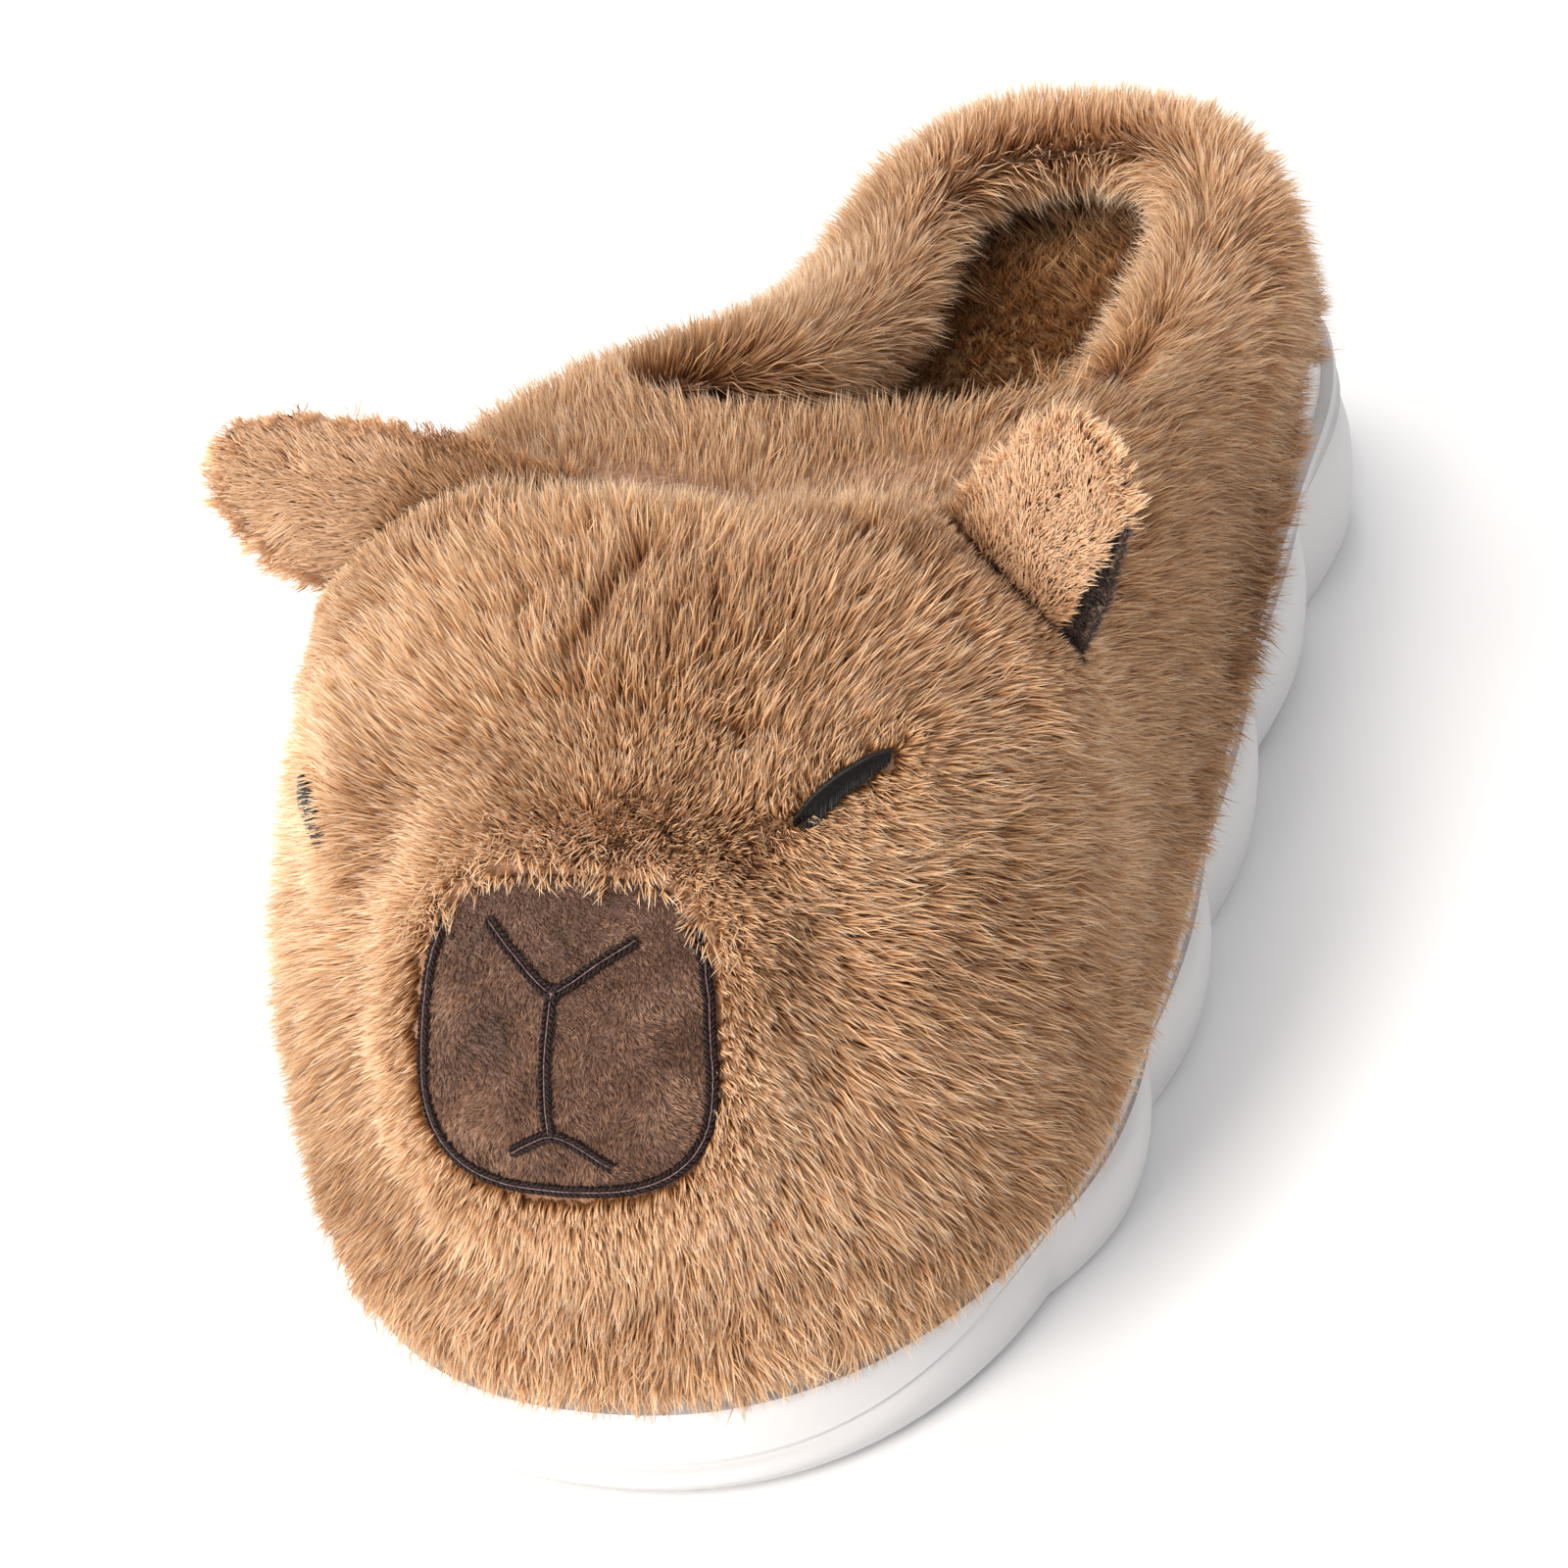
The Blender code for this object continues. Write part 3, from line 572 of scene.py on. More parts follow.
def insideNose(points):
    # 1 on the patch's outline, less within it and more outside, for points on the head's front
    gap = np.abs(points - noseMiddle) / np.maximum(noseHalf, mm(1))
    share = (gap[:, 0] ** nosePower + gap[:, 2] ** nosePower) ** (1 / nosePower)
    return np.where(points[:, 1] < mm(-95), share, 9.0)


def setIn(points):
    # 0 where something is set into the upper and 1 where the pile is as deep as it gets
    share = eased(insideNose(points), 0.98, 1.6)
    for line in eyeLines:
        share = np.minimum(share, eased(fromPath(points, line)[0], mm(1.5), mm(10)))
    for line in earRoots:
        share = np.minimum(share, eased(fromPath(points, line)[0], mm(4), mm(14)))
    return share


knit = knitMaterial("knitted backing of the plush", "#6E4A33", "#A47B5C")
upper = smoothCopy("upper", "upper_backing", mm(2.2), 12, knit)


def insideness(skin):
    # 1 where a point's outward ray meets the upper again, so it looks into the foot's space
    tree = skin.tree()
    found = np.zeros(len(skin.points))
    for k, (point, normal) in enumerate(zip(skin.points, skin.normals)):
        hit = tree.ray_cast(Vector(point + normal * mm(0.8)), Vector(normal), mm(120))
        found[k] = hit[0] is not None
    return found


upperInset = {
    "outside": mm(7.3),
    "bulge": mm(2.2),  # so much less on the medial cheek, where the photo's coat stands out
    "inside": mm(1.0),
    "deep": mm(1.5),
    "drop": mm(4.0),  # of the collar's top
    "hemTop": (mm(20), mm(37)),
}


def hemShift(y):
    # how far the hem moves inwards: less at the waist and more at the heel
    ball = mm(1.0) * fading(y + mm(60), mm(50))
    waist = mm(2.2) * fading(y - mm(40), mm(28))
    return mm(2.6) + ball - waist + mm(2.4) * eased(y, mm(60), mm(95))


def collarShift(points, across):
    # how far the padded collar moves over the opening, on its outer side and on its inner one
    outer = mm(7.5) + mm(2.0) * eased(-points[:, 0], mm(10), mm(40))
    outer = outer + mm(0.6) * eased(points[:, 1], mm(95), mm(125))
    lateral = eased(points[:, 0], mm(-10), mm(15))
    behind = eased(points[:, 1], mm(40), mm(100))
    inner = mm(7.5) + lateral * (mm(-8.5) + mm(5.8) * behind)
    return outer + (inner - outer) * eased(across, -0.5, 0.5)


def dressUpper():
    points = upper.points
    normals = unit(evened(upper, upper.normals, 4))
    inward = insideness(upper)
    deep = inward * (points[:, 1] < throatY + mm(4))
    inset = (upperInset["outside"] - upperInset["bulge"] * nearTo(points, *cheekBulge)) * setIn(points)
    inset = np.where(inward > 0.5, upperInset["inside"], inset)
    inset = np.where(deep > 0.5, upperInset["deep"], inset)
    for crease in creases:
        distance = fromCrease(points, crease)[0]
        inset = inset + mm(crease["depth"]) * fading(distance, mm(crease["reach"])) * (deep < 0.5)
    shift = normals * -inset[:, None]
    middle = np.clip(points * [0, 1, 0], mm(-85), mm(85)) - points * [1, 1, 0]
    inwards = unit(middle)
    raised = eased(points[:, 2:3], *upperInset["hemTop"])
    shift = inwards * hemShift(points[:, 1])[:, None] * (1 - raised) + shift * raised
    across = dots(normals, inwards)[:, 0]
    over = inwards * collarShift(points, across)[:, None]
    over = over - np.clip(normals[:, 2:3], 0, 1) * [0, 0, upperInset["drop"]]
    share = eased(points[:, 2:3], mm(42), mm(56)) * eased(points[:, 1:2], mm(0), mm(25))
    shift = shift + (over - shift) * share
    upper.moveTo(points + evened(upper, shift, 6))
    upper.normals = unit(evened(upper, upper.normals, 10))
    return evened(upper, inward, 6), deep


def combed(points, normals, inward):
    # away from the bridge over the head, down the sides, and out of the parting along the collar
    radial = unit(points - bridge)
    down = np.array([0, 0, -1.0])
    steep = 1 - np.abs(normals[:, 2:3])
    flow = tangent(radial, normals) + down * 0.3 * steep
    collar = normals * [1, 1, 0] * 1.2 + down * 0.6 + np.array([0, 0.35, 0])
    share = eased(points[:, 1:2], mm(-5), mm(40))
    share = np.maximum(share, inward[:, None])
    flow = flow * (1 - share) + tangent(collar, normals) * share
    low = 1 - eased(points[:, 2:3], mm(16), mm(62))
    flow = flow * (1 - low * 0.8) + tangent(down + flow * 0.2, normals) * low * 0.8
    for line in eyeLines:
        distance, away = fromPath(points, line)
        flow = flow + tangent(away, normals) * 2.0 * fading(distance, mm(5))[:, None]
    overPatch = nearTo(points, bridge, mm(9))[:, None]
    flow = flow + tangent(np.array([-0.2, -0.3, -1.0]), normals) * 1.2 * overPatch
    for crease in creases:
        distance, away = fromCrease(points, crease)
        close = fading(distance, mm(crease["reach"] * 1.6))[:, None]
        flow = flow + tangent(away, normals) * crease["part"] * close
    swirl = 0.30 * waves(points, mm(22), 3) + 0.22 * waves(points, mm(8), 4)
    return turned(tangent(flow, normals), normals, swirl)


# Two lengths in one coat: dense straight underfur, and longer bent hairs whose pale tips show
underStyle = {
    "length": mm(6.6), "uneven": 0.30, "mess": 0.35, "lean": (0.44, 0.56), "straight": True,
    # the underfur is made darker as painted shade in the gaps between the tufts
    "tuft": 6, "gather": 0.5, "width": mm(0.28), "tint": 0.10, "tuftTint": 0.10, "shade": -0.12,
    "strands": 350000, "pieces": 2,
}
guardStyle = {
    "length": mm(7.6), "uneven": 0.28, "mess": 0.36, "lean": (0.26, 0.60), "bend": 0.62, "tuft": 4,
    "gather": 0.42, "width": mm(0.19), "tint": 0.12, "tuftTint": 0.06, "shade": 0.04,
    "strands": 170000, "pieces": 2,
}
coatShade = 0.56


def coatAt(points, normals, inward, deep):
    shade = coatShade + 0.05 * waves(points, mm(30), 5) + 0.04 * waves(points, mm(9), 6)
    coat = {quality: np.ones(len(points)) for quality in coatQualities} | {"shade": shade}
    for place, reach, changes in coatSpots:
        near = nearTo(points, mmPoint(place), mm(reach))
        for quality, change in zip(coatQualities, changes):
            coat[quality] += change * near
    length = coat["length"]
    # painted shade along each crease's trough
    for crease in creases:
        distance = fromCrease(points, crease)[0]
        shade -= crease["dark"] * fading(distance, mm(crease["reach"] * 0.7))
    length *= 0.36 + 0.64 * setIn(points)
    low = 1 - eased(points[:, 2], mm(20), mm(36))
    length *= 1 - 0.15 * low * (inward < 0.5)
    # painted shade inside the opening, deepest low on the inner wall where it meets the sock
    shade -= 0.08 * inward
    shade -= 0.45 * inward * (1 - eased(points[:, 2], mm(42), mm(50))) * eased(points[:, 1], mm(20), mm(50))
    length = np.where(inward > 0.5, 1.05, length)
    length = np.where(deep > 0.5, 0.45, length)
    rim = eased(normals[:, 2], 0.55, 0.95) * eased(points[:, 1], mm(-8), mm(12))
    lower = 0.55 * low - 0.35 * rim
    # painted light on the collar's upturned top
    shade += 0.06 * rim
    for line in eyeLines:
        near = fading(fromPath(points, line)[0], mm(4))
        length *= 1 - 0.15 * near
        lower += 0.35 * near
    lower -= 0.35 * nearTo(points, bridge, mm(7))
    return coat | {"shade": shade, "length": length, "lower": lower}


def growUpper():
    rng = np.random.default_rng(11)
    inward, deep = dressUpper()
    print("upper backing ready,", len(upper.tris), "triangles")
    field = KDTree(len(upper.points))
    for index, point in enumerate(upper.points):
        field.insert(point, index)
    field.balance()
    deepFace = deep[upper.tris].mean(axis=1)
    inwardFace = inward[upper.tris].mean(axis=1)
    centres, facing = upper.centres()
    weights = 1.0 - 0.25 * inwardFace - 0.6 * deepFace
    weights *= 1 + 0.5 * eased(centres[:, 2], mm(44), mm(54)) * eased(centres[:, 1], mm(10), mm(40))
    weights *= 1 + 0.25 * eased(-centres[:, 1], mm(0), mm(60))
    weights *= 2 - setIn(centres)
    weights[insideNose(centres) < 0.99] = 0
    for start, end in eyeLines:
        weights[fromPath(centres, [start, start + (end - start) * 0.88])[0] < mm(1.4)] = 0
    weights[(facing[:, 2] < -0.8) & (centres[:, 2] < mm(36))] = 0
    within = dots(facing[:, :2], centres[:, :2])[:, 0] < 0
    weights[within & (centres[:, 2] < mm(37))] = 0
    for layer, style in (("under", underStyle), ("guard", guardStyle)):
        roots, normals = upper.scatter(style["strands"], weights, rng)
        nearest = np.array([field.find(root)[1] for root in roots])
        flow = combed(roots, normals, inward[nearest])
        coat = coatAt(roots, normals, inward[nearest], deep[nearest])
        coat["shade"] += style["shade"]
        for part in range(style["pieces"]):
            chosen = slice(part, None, style["pieces"])
            piece = growPile(
                f"upper_{layer}_{part + 1}", roots[chosen], normals[chosen], flow[chosen], style,
                {key: values[chosen] for key, values in coat.items()}, fur, rng,
            )


fur = pileMaterial("acrylic faux fur", furLook)
growUpper()


# Sole: the same outline, lobes, step and lip as the model's, finely divided

soleForm = {
    "length": mm(276),
    "width": mm(110),
    "lobes": 13,
    "lobeDepth": mm(3.4),
    "toePlain": mm(136),
    "toeShift": mm(7.0),  # the plain toe lies this far round towards the lateral side
    "stepToe": 0.36,
    "stepSide": 0.94,
    "stepRiseEnd": 0.17,
    "stepDepth": mm(1.6),
    "rounding": mm(3.6),
    "edge": mm(0.9),
    "lip": mm(4.5),
    "lipHeight": mm(9.0),
    "spring": mm(1.8),
    "springStart": 0.24,
    "archLift": mm(1.8),
    "arch": (0.54, 0.76),
    "archEase": 0.08,
    "groove": mm(2.6),  # how far in the upper's hem starts
    "lobeSteps": 20,
    "toeSteps": 60,
    "dense": 600,
}
# share of the length, lateral and medial half widths as shares of half the width
planRows = [
    (0.00, 0.985, 1.000), (0.25, 0.975, 1.000), (0.38, 0.950, 0.950), (0.52, 0.893, 0.870),
    (0.66, 0.840, 0.815), (0.80, 0.800, 0.785), (1.00, 0.780, 0.780),
]
heightRows = [(0.00, mm(20.7)), (0.32, mm(24)), (0.70, mm(31)), (1.00, mm(31))]
# up the side, inset as a share of the rounding or of the step, and how much of the lobes shows
sideRows = [
    (0.00, 1.00, 0.50), (0.07, 0.55, 0.75), (0.25, 0.25, 1.00),
    (0.60, 0.00, 1.00), (0.90, 0.17, 0.95), (1.00, 0.45, 0.60),
]
sideLevels = (0.0, 0.03, 0.07, 0.12, 0.18, 0.25, 0.35, 0.45, 0.55, 0.65, 0.75, 0.84, 0.90, 0.94, 0.97, 1.0)
bandRows = [(0.12, 0.85, 0.34), (0.30, 1.00, 0.30), (0.6, 1.12, 0.22), (1.00, 1.30, 0.15)]
topShrinks = ((0.8, 0.97, 1), (0.5, 1, 1), (0.2, 1, 1))  # of the rings that close the top
treadForm = {
    "pitch": mm(13.5),
    "flats": ((0.24, 0.52), (0.78, 0.93)),  # where the sole meets the floor, as shares of its length
    "margin": mm(14),
    "bend": mm(6),
    "half": mm(1.5),  # half a groove's width, and its depth
}


def smoothAt(rows, column, along):
    # a column of a table at a share of the length, by a smooth curve through its rows
    knots = np.array([row[0] for row in rows])
    values = np.array([row[column] for row in rows])
    slopes = np.gradient(values, knots)
    along = np.clip(np.asarray(along, float), knots[0], knots[-1])
    index = np.clip(np.searchsorted(knots, along, side="right") - 1, 0, len(knots) - 2)
    span = knots[index + 1] - knots[index]
    t = (along - knots[index]) / span
    start = values[index] * (2 * t**3 - 3 * t**2 + 1) + slopes[index] * span * (t**3 - 2 * t**2 + t)
    return start + values[index + 1] * (3 * t**2 - 2 * t**3) + slopes[index + 1] * span * (t**3 - t**2)


def roundedEnd(distance, reach, power):
    short = np.clip(1 - distance / reach, 0, 1)
    return (1 - short**power) ** (1 / power)


def sideOutline(column):
    along = (1 - np.cos(np.linspace(0, math.pi, soleForm["dense"]))) / 2
    half = soleForm["width"] / 2 * smoothAt(planRows, column, along)
    half = half * roundedEnd(along, 0.30, 2.25) * roundedEnd(1 - along, 0.20, 2.3)
    sign = 1 if column == 1 else -1
    return np.column_stack([sign * half, (along - 0.5) * soleForm["length"]])


def lengthsAlong(points):
    return np.concatenate([[0], np.cumsum(np.linalg.norm(np.diff(points, axis=0), axis=1))])


soleOutline = np.vstack([sideOutline(1), sideOutline(2)[-2::-1]])
outlineLengths = lengthsAlong(soleOutline)
outlineLength = outlineLengths[-1]


def outlineAt(lengths, inset):
    # points of the outline at lengths from the toe's tip, round by the lateral side, moved in
    step = outlineLength / soleForm["dense"]

    def spotAt(places):
        places = places % outlineLength
        return np.column_stack([np.interp(places, outlineLengths, soleOutline[:, k]) for k in range(2)])

    run = unit(spotAt(lengths + step) - spotAt(lengths - step))
    return spotAt(lengths) + np.column_stack([-run[:, 1], run[:, 0]]) * np.reshape(inset, (-1, 1))


def lobePlaces():
    # lengths round the outline, and how far each stands in from the lobes' crests
    lobed = outlineLength - soleForm["toePlain"]
    steps = soleForm["lobeSteps"]
    count = soleForm["lobes"] * steps
    index = np.arange(count + 1)
    lobesStart = soleForm["toePlain"] / 2 + soleForm["toeShift"]
    lengths = lobesStart + index * lobed / count
    drops = soleForm["lobeDepth"] * (2 * (index % steps) / steps - 1) ** 2
    toe = np.arange(1, soleForm["toeSteps"])
    toeLengths = lobesStart - toe * soleForm["toePlain"] / soleForm["toeSteps"]
    toeDrops = soleForm["lobeDepth"] * (2 * toe / soleForm["toeSteps"] - 1) ** 2
    lengths = np.concatenate([lengths, toeLengths]) % outlineLength
    drops = np.concatenate([drops, toeDrops])
    order = np.argsort(lengths)
    return lengths[order], drops[order]


def treadBars():
    # shallow bars, bent in the middle, that the tread's grooves are cut with
    points = []
    faces = []
    for step in range(-10, 10):
        middle = (step + 0.5) * treadForm["pitch"]
        along = middle / soleForm["length"] + 0.5
        if not any(start <= along <= end for start, end in treadForm["flats"]):
            continue
        base = len(points)
        narrow = min(smoothAt(planRows, 1, along), smoothAt(planRows, 2, along))
        reach = soleForm["width"] / 2 * narrow - treadForm["margin"]
        for side in (-1, 0, 1):
            y = middle + treadForm["bend"] * abs(side)
            for back, level in ((-1, -1), (1, -1), (1, 1), (-1, 1)):
                points.append((side * reach, y + back * treadForm["half"], level * treadForm["half"]))
        faces += [tuple(base + k for k in face) for face in ((3, 2, 1, 0), (8, 9, 10, 11))]
        for first in (base, base + 4):
            turns = [(first + k, first + (k + 1) % 4) for k in range(4)]
            faces += [(low, after, after + 4, low + 4) for low, after in turns]
    return newPiece("tread_bars", points, faces, foam)


def buildSole():
    lengths, drops = lobePlaces()
    count = len(lengths)
    plain = outlineAt(lengths, 0)
    along = plain[:, 1] / soleForm["length"] + 0.5
    spring = soleForm["spring"] * np.clip(1 - along / soleForm["springStart"], 0, 1) ** 2
    start, end = soleForm["arch"]
    lift = eased(along, start, start + soleForm["archEase"]) - eased(along, end - soleForm["archEase"], end)
    low = spring + soleForm["archLift"] * lift
    high = spring + smoothAt(heightRows, 1, along)
    bandTop = high - soleForm["lipHeight"]
    risen = eased(along, 0, soleForm["stepRiseEnd"])
    share = soleForm["stepToe"] + (soleForm["stepSide"] - soleForm["stepToe"]) * risen
    step = low + (bandTop - low) * share
    rows = []
    for up in sideLevels:
        inset = soleForm["rounding"] * smoothAt(sideRows, 1, up) + drops * smoothAt(sideRows, 2, up)
        rows.append(np.column_stack([outlineAt(lengths, inset), low + (step - low) * up]))
    edge = bandTop - soleForm["edge"]
    for up, out, lobed in bandRows:
        inset = soleForm["stepDepth"] * out + drops * lobed
        rows.append(np.column_stack([outlineAt(lengths, inset), step + (edge - step) * up]))
    lip = soleForm["lip"]
    for inset, level in (
        (soleForm["groove"], bandTop), (lip, bandTop),
        (lip, high - soleForm["edge"]), (lip + soleForm["edge"], high),
    ):
        rows.append(np.column_stack([outlineAt(lengths, inset), level]))
    for shrink in topShrinks:
        rows.append(rows[-1] * shrink)
    points = np.concatenate(rows)
    base = np.arange(count)
    after = (base + 1) % count
    ring = np.column_stack([base, after, after + count, base + count])
    faces = np.concatenate([ring + row * count for row in range(len(rows) - 1)]).tolist()
    faces.append(list(range(count))[::-1])
    faces.append([(len(rows) - 1) * count + k for k in range(count)])
    mesh = bpy.data.meshes.new("sole_moulded")
    mesh.from_pydata(points.tolist(), [], faces)
    mesh.materials.append(foam)
    mesh.shade_smooth()
    mesh.set_sharp_from_angle(angle=math.radians(25))
    piece = placed("sole_moulded", mesh)
    bars = treadBars()
    cut = piece.modifiers.new("grooves", "BOOLEAN")
    cut.operation = "DIFFERENCE"
    cut.solver = "EXACT"
    cut.object = bars
    grooved = modified(piece)
    piece.modifiers.clear()
    piece.data = grooved
    bpy.data.objects.remove(bars)
    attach(piece, "root")
    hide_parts("sole")
    print("sole ready,", len(grooved.polygons), "faces")


foam = foamMaterial()
buildSole()


# Insole: the trodden pile inside

sockStyle = {
    "length": mm(3.4), "uneven": 0.3, "mess": 0.6, "lean": (0.6, 0.8), "straight": True, "tuft": 8,
    "gather": 0.5, "width": mm(0.30), "tint": 0.10, "tuftTint": 0.10, "strands": 36000,
}


def growInsole():
    rng = np.random.default_rng(21)
    backing = knitMaterial("knitted backing of the sock", "#6E5030", "#A07A4C")
    sock = smoothCopy("insole", "insole_backing", mm(2.5), 4, backing)
    sock.moveTo(sock.points - sock.normals * mm(1.0))
    centres, facing = sock.centres()
    weights = (facing[:, 2] > 0.5) * (0.35 + 0.65 * eased(centres[:, 1], mm(-60), mm(0)))
    roots, normals = sock.scatter(sockStyle["strands"], weights, rng)
    flow = tangent(np.tile([0.2, -1.0, 0], (len(roots), 1)), normals)
    flow = turned(flow, normals, 0.8 * waves(roots, mm(14), 22))
    # paler at the back, where the coat's lining turns onto the sock, and paler still as painted light in the
    # opening's shade
    back = eased(roots[:, 1], mm(84), mm(104))
    shade = 0.55 + 0.10 * waves(roots, mm(10), 23) + 0.42 * back
    coat = {"shade": shade, "length": 1 + 0.7 * back}
    pile = pileMaterial("boa fleece of the sock", sockLook)
    piece = growPile("insole_pile", roots, normals, flow, sockStyle, coat, pile, rng)


growInsole()


# Ears: pale fur in front, and short velvet behind that shows along the lateral ear's outer margin

ears = {
    "ear_lateral": {
        "root": (39.9, -51.9, 87), "points": (0.53, -0.05, 0.85), "runs": (0.76, -0.42, -0.50),
        "side": 1, "margin": 0.60,
    },
    "ear_medial": {
        "root": (-41.0, -51.6, 90), "points": (-0.82, -0.22, 0.52), "runs": (-0.50, -0.60, -0.62),
        "side": -1, "margin": 2.0,
    },
}
earStyle = {
    "length": mm(3.8), "uneven": 0.25, "mess": 0.30, "lean": (0.70, 1.2), "bend": 0.55, "tuft": 6,
    "gather": 0.4, "width": mm(0.20), "tint": 0.10, "tuftTint": 0.06, "strands": 12500,
}
napStyle = {
    "length": mm(1.3), "uneven": 0.3, "mess": 0.5, "lean": (0.5, 0.7), "straight": True, "tuft": 10,
    "gather": 0.3, "width": mm(0.28), "tint": 0.14, "tuftTint": 0.08, "strands": 14000,
}


def growEars():
    rng = np.random.default_rng(31)
    backing = knitMaterial("knitted backing of the ears", "#5E483A", "#846A58")
    velvet = pileMaterial("short velvet behind the ears", earBackLook)
    plush = pileMaterial("sheared plush of the ears", earLook)
    for name, ear in ears.items():
        skin = smoothCopy(name, name + "_backing", mm(1.0), 6, backing)
        pointing = unit(np.array(ear["points"]))
        running = np.array(ear["runs"])
        running = unit(running - pointing * (running @ pointing))
        facing = unit(np.cross(pointing, running)) * -ear["side"]
        front = (skin.normals @ facing) > -0.1
        skin.moveTo(skin.points - skin.normals * np.where(front, mm(2.4), mm(0.9))[:, None])
        centres, normals = skin.centres()
        along = (centres - mmPoint(ear["root"])) @ running / mm(13.5)
        furry = ((normals @ facing) > -0.35) & (along < ear["margin"])
        roots, normals = skin.scatter(earStyle["strands"], furry.astype(float), rng)
        spread = (roots - mmPoint(ear["root"])) @ running
        flow = tangent(pointing + running * (spread / mm(15))[:, None], normals)
        flow = turned(flow, normals, 0.25 * waves(roots, mm(8), 32))
        height = (roots - mmPoint(ear["root"])) @ pointing
        # darker towards the root, partly the plush's own colour and partly painted shade where the ear meets
        # the head
        shade = 0.88 + 0.05 * waves(roots, mm(6), 33) - 0.45 * (1 - eased(height, mm(-1), mm(7)))
        length = 1.0 - 0.25 * eased(height, mm(17), mm(27))
        coat = {"shade": shade, "length": length}
        piece = growPile(name + "_pile", roots, normals, flow, earStyle, coat, plush, rng)
        roots, normals = skin.scatter(napStyle["strands"], (~furry).astype(float), rng)
        flow = tangent(np.tile(pointing, (len(roots), 1)), normals)
        flow = turned(flow, normals, 0.6 * waves(roots, mm(5), 34))
        shade = 0.5 + 0.16 * waves(roots, mm(4), 35)
        piece = growPile(name + "_nap", roots, normals, flow, napStyle, {"shade": shade}, velvet, rng)


growEars()


# Embroidery

def stitch(name, paths, radius, material, sides=6):
    # one tapered tube for each path, all paths having the same number of points
    paths = np.asarray(paths)
    count, steps = paths.shape[:2]
    run = unit(np.gradient(paths, axis=1))
    other = unit(np.cross(run, np.tile([0.13, 0.31, 0.94], (count, steps, 1))))
    third = np.cross(run, other)
    taper = np.ones(steps)
    taper[[0, -1]] = 0.35
    turn = np.linspace(0, 2 * math.pi, sides, endpoint=False)
    ring = other[:, :, None] * np.cos(turn)[:, None] + third[:, :, None] * np.sin(turn)[:, None]
    points = paths[:, :, None] + ring * (radius * taper)[None, :, None, None]
    base = (np.arange(count) * steps * sides)[:, None, None]
    low = base + (np.arange(steps - 1) * sides)[None, :, None]
    high = low + sides
    around = np.arange(sides)[None, None, :]
    after = (around + 1) % sides
    faces = np.stack([low + around, low + after, high + after, high + around], axis=-1)
    return newPiece(name, points.reshape(-1, 3), faces.reshape(-1, 4), material)


def resampled(path, spacing):
    reached = lengthsAlong(path)
    places = np.linspace(0, reached[-1], max(int(reached[-1] / spacing), 2))
    return np.column_stack([np.interp(places, reached, path[:, k]) for k in range(path.shape[1])])


def rounded(path, times):
    # corners cut away, so a few picked points give a smooth line
    for _ in range(times):
        first = path[:-1] * 0.75 + path[1:] * 0.25
        second = path[:-1] * 0.25 + path[1:] * 0.75
        path = np.vstack([path[:1], np.stack([first, second], axis=1).reshape(-1, path.shape[1]), path[-1:]])
    return path


# Velvet nose: its nap, and its embroidered lines as x and z in mm
noseStyle = {
    "length": mm(0.95), "uneven": 0.3, "mess": 0.35, "lean": (0.75, 0.9), "straight": True,
    "tuft": 8, "gather": 0.45, "width": mm(0.17), "tint": 0.12, "tuftTint": 0.12, "strands": 26000,
}
noseLines = {
    "left_arm": [(-6.8, 78.9), (-3.2, 76.6), (-0.2, 74.2), (2.2, 72.9)],
    "right_arm": [(11.6, 77.7), (8.0, 76.2), (4.8, 74.2), (2.2, 72.9)],
    "stem": [(2.2, 73.6), (1.6, 68.0), (1.3, 62.5), (1.5, 57.0)],
    "mouth": [(-3.4, 54.2), (-0.6, 55.9), (1.8, 57.0), (4.6, 55.9), (8.6, 52.9)],
}
# The border runs round from one upper corner to the other, in degrees from the patch's lateral side
noseBorder = {"turns": (148, 394, 3.0), "inset": (mm(1.5), mm(1.4)), "taper": 0.06}
stitchSize = {
    "rows": mm(0.48),  # each side of the line
    "length": mm(1.35),
    "pitch": mm(0.62),
    "radius": mm(0.22),
    "slant": 0.5,
    "rise": mm(0.80),
    "sink": mm(0.35),
    # a thin mauve thread along each line's middle: a painted highlight for the sheen between the two dark
    # rows
    "core": mm(0.10),
    "coreRise": mm(0.80),
}


def frontOf(tree, spots):
    # points of x and z in metres, laid onto the patch from in front
    places = np.empty((len(spots), 3))
    normals = np.empty((len(spots), 3))
    for k, (x, z) in enumerate(spots):
        hit = tree.ray_cast(Vector((x, -0.3, z)), Vector((0, 1, 0)))
        if hit[0] is None or hit[0].y > mm(-90):
            hit = tree.find_nearest(Vector((x, mm(-126), z)))
        places[k] = hit[0]
        normals[k] = hit[1]
    return places, normals


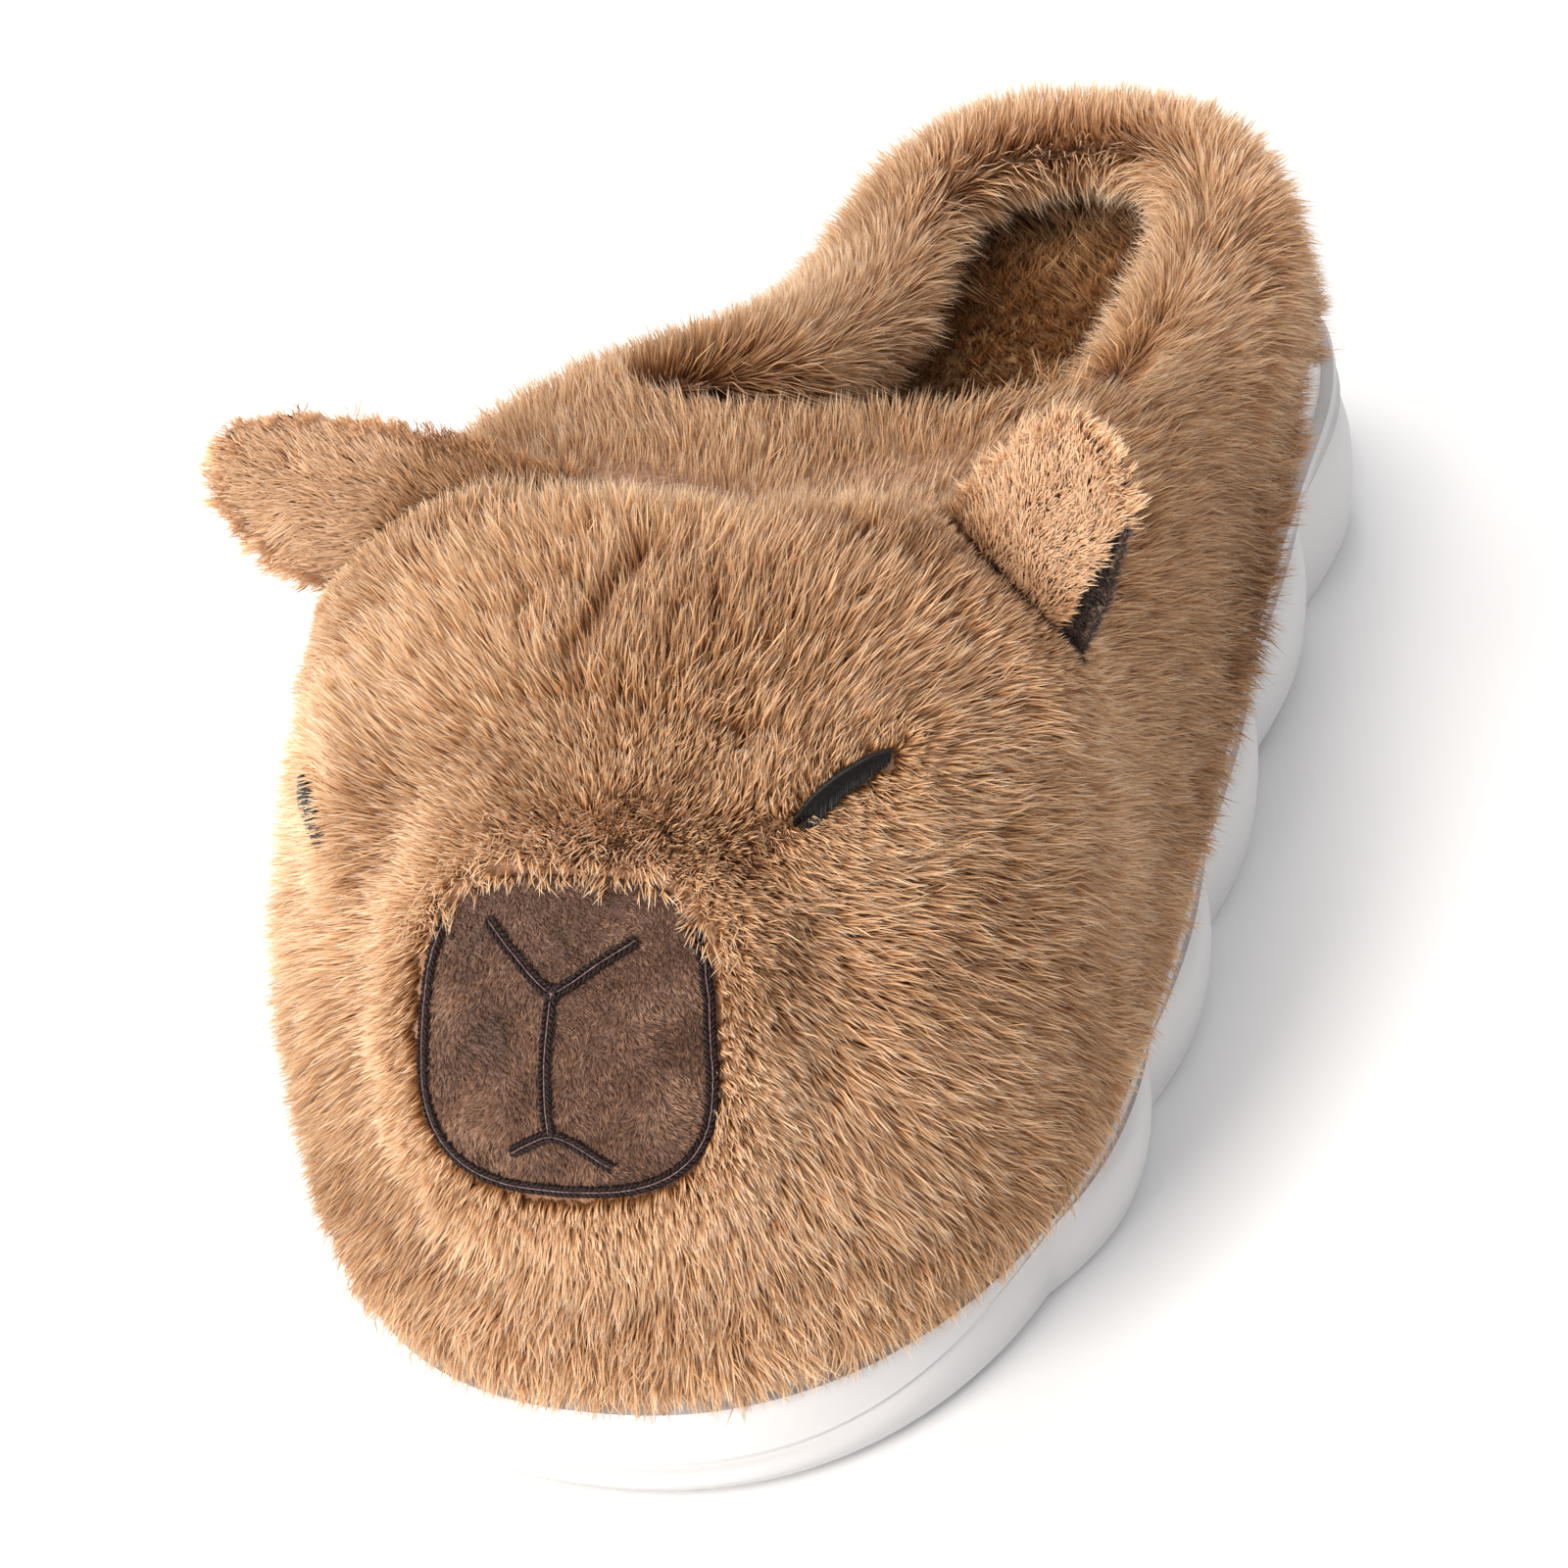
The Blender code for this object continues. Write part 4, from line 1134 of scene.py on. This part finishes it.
def embroider(name, lines, tree, dark, core):
    rng = np.random.default_rng(41)
    stitches = []
    cores = []
    for line in lines:
        spots = resampled(rounded(np.array(line), 2), stitchSize["pitch"])
        places, normals = frontOf(tree, spots)
        run = unit(np.gradient(places, axis=0))
        side = unit(np.cross(normals, run))
        for k in range(len(places)):
            for sign in (-1, 1):
                middle = places[k] + side[k] * sign * stitchSize["rows"] + normals[k] * stitchSize["rise"]
                middle = middle + run[k] * rng.uniform(-0.08, 0.08) * stitchSize["length"]
                way = run[k] * math.cos(stitchSize["slant"]) + side[k] * sign * math.sin(stitchSize["slant"])
                half = way * stitchSize["length"] / 2 * rng.uniform(0.85, 1.15)
                sink = normals[k] * stitchSize["sink"]
                stitches.append([middle + half * t - sink * t * t for t in (-1, -0.5, 0, 0.5, 1)])
        # the mauve middle threads, a painted highlight
        for k in range(len(places) - 1):
            rise = normals[k] * stitchSize["coreRise"]
            step = places[k + 1] - places[k]
            cores.append([places[k] + step * t + rise for t in (-0.2, 0.15, 0.5, 0.85, 1.2)])
    threads = {
        name: (stitches, stitchSize["radius"], dark),
        name + "_core": (cores, stitchSize["core"], core),
    }
    for title, (paths, radius, material) in threads.items():
        piece = stitch(title, paths, radius, material)
        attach(piece, "root")
        print("stitches", title, len(paths))


fringeStyle = {
    "length": mm(2.8), "uneven": 0.5, "mess": 0.5, "lean": (0.65, 1.15), "bend": 0.5, "tuft": 6,
    "gather": 0.6, "width": mm(0.20), "tint": 0.08, "tuftTint": 0.06, "strands": 3400,
}


def fringe(rng):
    # the coat's own hairs, brushed down over the patch's top edge so that it looks ragged
    centres, facing = upper.centres()
    edge = insideNose(centres)
    weights = ((edge > 0.90) & (edge < 1.14) & (centres[:, 2] > mm(75))).astype(float)
    roots, normals = upper.scatter(fringeStyle["strands"], weights, rng)
    gap = tangent(noseMiddle * [1, 0, 1] - roots * [1, 0, 1], normals)
    flow = tangent(gap * 0.6 + np.array([0, -0.2, -1.0]), normals)
    flow = turned(flow, normals, 0.5 * waves(roots, mm(5), 46))
    shade = 0.88 + 0.05 * waves(roots, mm(5), 47)
    length = 1 + 0.3 * waves(roots, mm(6), 48)
    coat = {"shade": shade, "length": length}
    piece = growPile("nose_fringe", roots, normals, flow, fringeStyle, coat, fur, rng)


def borderLine():
    turn = np.radians(np.arange(*noseBorder["turns"]))
    across, upwards = (np.sign(way) * np.abs(way) ** (2 / nosePower) for way in (np.cos(turn), np.sin(turn)))
    across = across * (1 - noseBorder["taper"] * upwards)
    reach = (noseHalf[0] - noseBorder["inset"][0], noseHalf[2] - noseBorder["inset"][1])
    return np.column_stack([noseMiddle[0] + across * reach[0], noseMiddle[2] + upwards * reach[1]])


def growNose():
    rng = np.random.default_rng(42)
    backing = knitMaterial("knitted backing of the velvet", "#4A352B", "#72564A")
    skin = smoothCopy("nose_patch", "nose_backing", mm(0.6), 6, backing)
    centres, facing = skin.centres()
    weights = (facing[:, 1] < -0.2).astype(float)
    roots, normals = skin.scatter(noseStyle["strands"], weights, rng)
    flow = tangent(np.tile([0.35, 0, -1.0], (len(roots), 1)), normals)
    flow = turned(flow, normals, 0.7 * waves(roots, mm(9), 43))
    # swaths and streaks of painted sheen, paler where the brushed nap would catch the light
    napSheen = waves(roots * [1, 1, 1.5], mm(10), 44)
    shade = 0.52 + 0.18 * napSheen + 0.08 * waves(roots * [0.6, 1, 1.8], mm(2.4), 45)
    pile = pileMaterial("polyester velvet of the nose", velvetLook)
    piece = growPile("nose_nap", roots, normals, flow, noseStyle, {"shade": shade}, pile, rng)
    fringe(rng)
    lines = [mmPoint(line) for line in noseLines.values()] + [borderLine()]
    embroider("nose_stitching", lines, skin.tree(), thread, mauve)


thread = threadMaterial("rayon embroidery thread", "#0E0807", "#2A1A18", 0.45)
mauve = threadMaterial("mauve thread of painted sheen", "#4A383A", "#86706E", 0.5)
growNose()

glossy = threadMaterial("black rayon of the eyes", "#050404", "#1C1512", 0.35)

# Closed eyes in satin stitch: threads laid slantwise over each slit
eyeStyle = {
    "half": mm(9.0), "width": mm(0.85), "threads": 44, "slant": 1.05, "radius": mm(0.27),
    "rise": mm(1.3),
}


def sewEyes():
    rng = np.random.default_rng(51)
    for name, (start, end) in zip(("eye_lateral", "eye_medial"), eyeLines):
        tree = Skin(nodes[name]).tree()
        run = unit((end - start) * [1, 1, 0])
        over = np.array([-run[1], run[0], 0])
        middle = (start + end) / 2 - run * mm(0.6)
        paths = []
        for k in range(eyeStyle["threads"]):
            place = 2 * (k + 0.5) / eyeStyle["threads"] - 1
            wide = eyeStyle["width"] * (1 - abs(place) ** 2.4) ** 0.5 * rng.uniform(0.85, 1.1) + mm(0.25)
            path = []
            for t in (-1, -0.5, 0, 0.5, 1):
                slide = place * (eyeStyle["half"] - mm(0.8)) + t * wide * math.tan(eyeStyle["slant"])
                slide = np.clip(slide, -eyeStyle["half"], eyeStyle["half"])
                spot = middle + run * slide + over * t * wide
                hit = tree.find_nearest(Vector((spot[0], spot[1], middle[2] + mm(6))))
                near = tree.ray_cast(Vector((spot[0], spot[1], 0.2)), Vector((0, 0, -1)))
                level = near[0].z if near[0] is not None else hit[0].z
                path.append((spot[0], spot[1], level + eyeStyle["rise"] * (1 - 0.8 * t * t)))
            paths.append(path)
        piece = stitch(name + "_stitching", paths, eyeStyle["radius"], glossy)
        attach(piece, "root")
        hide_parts(name)


sewEyes()
print("embroidery ready")
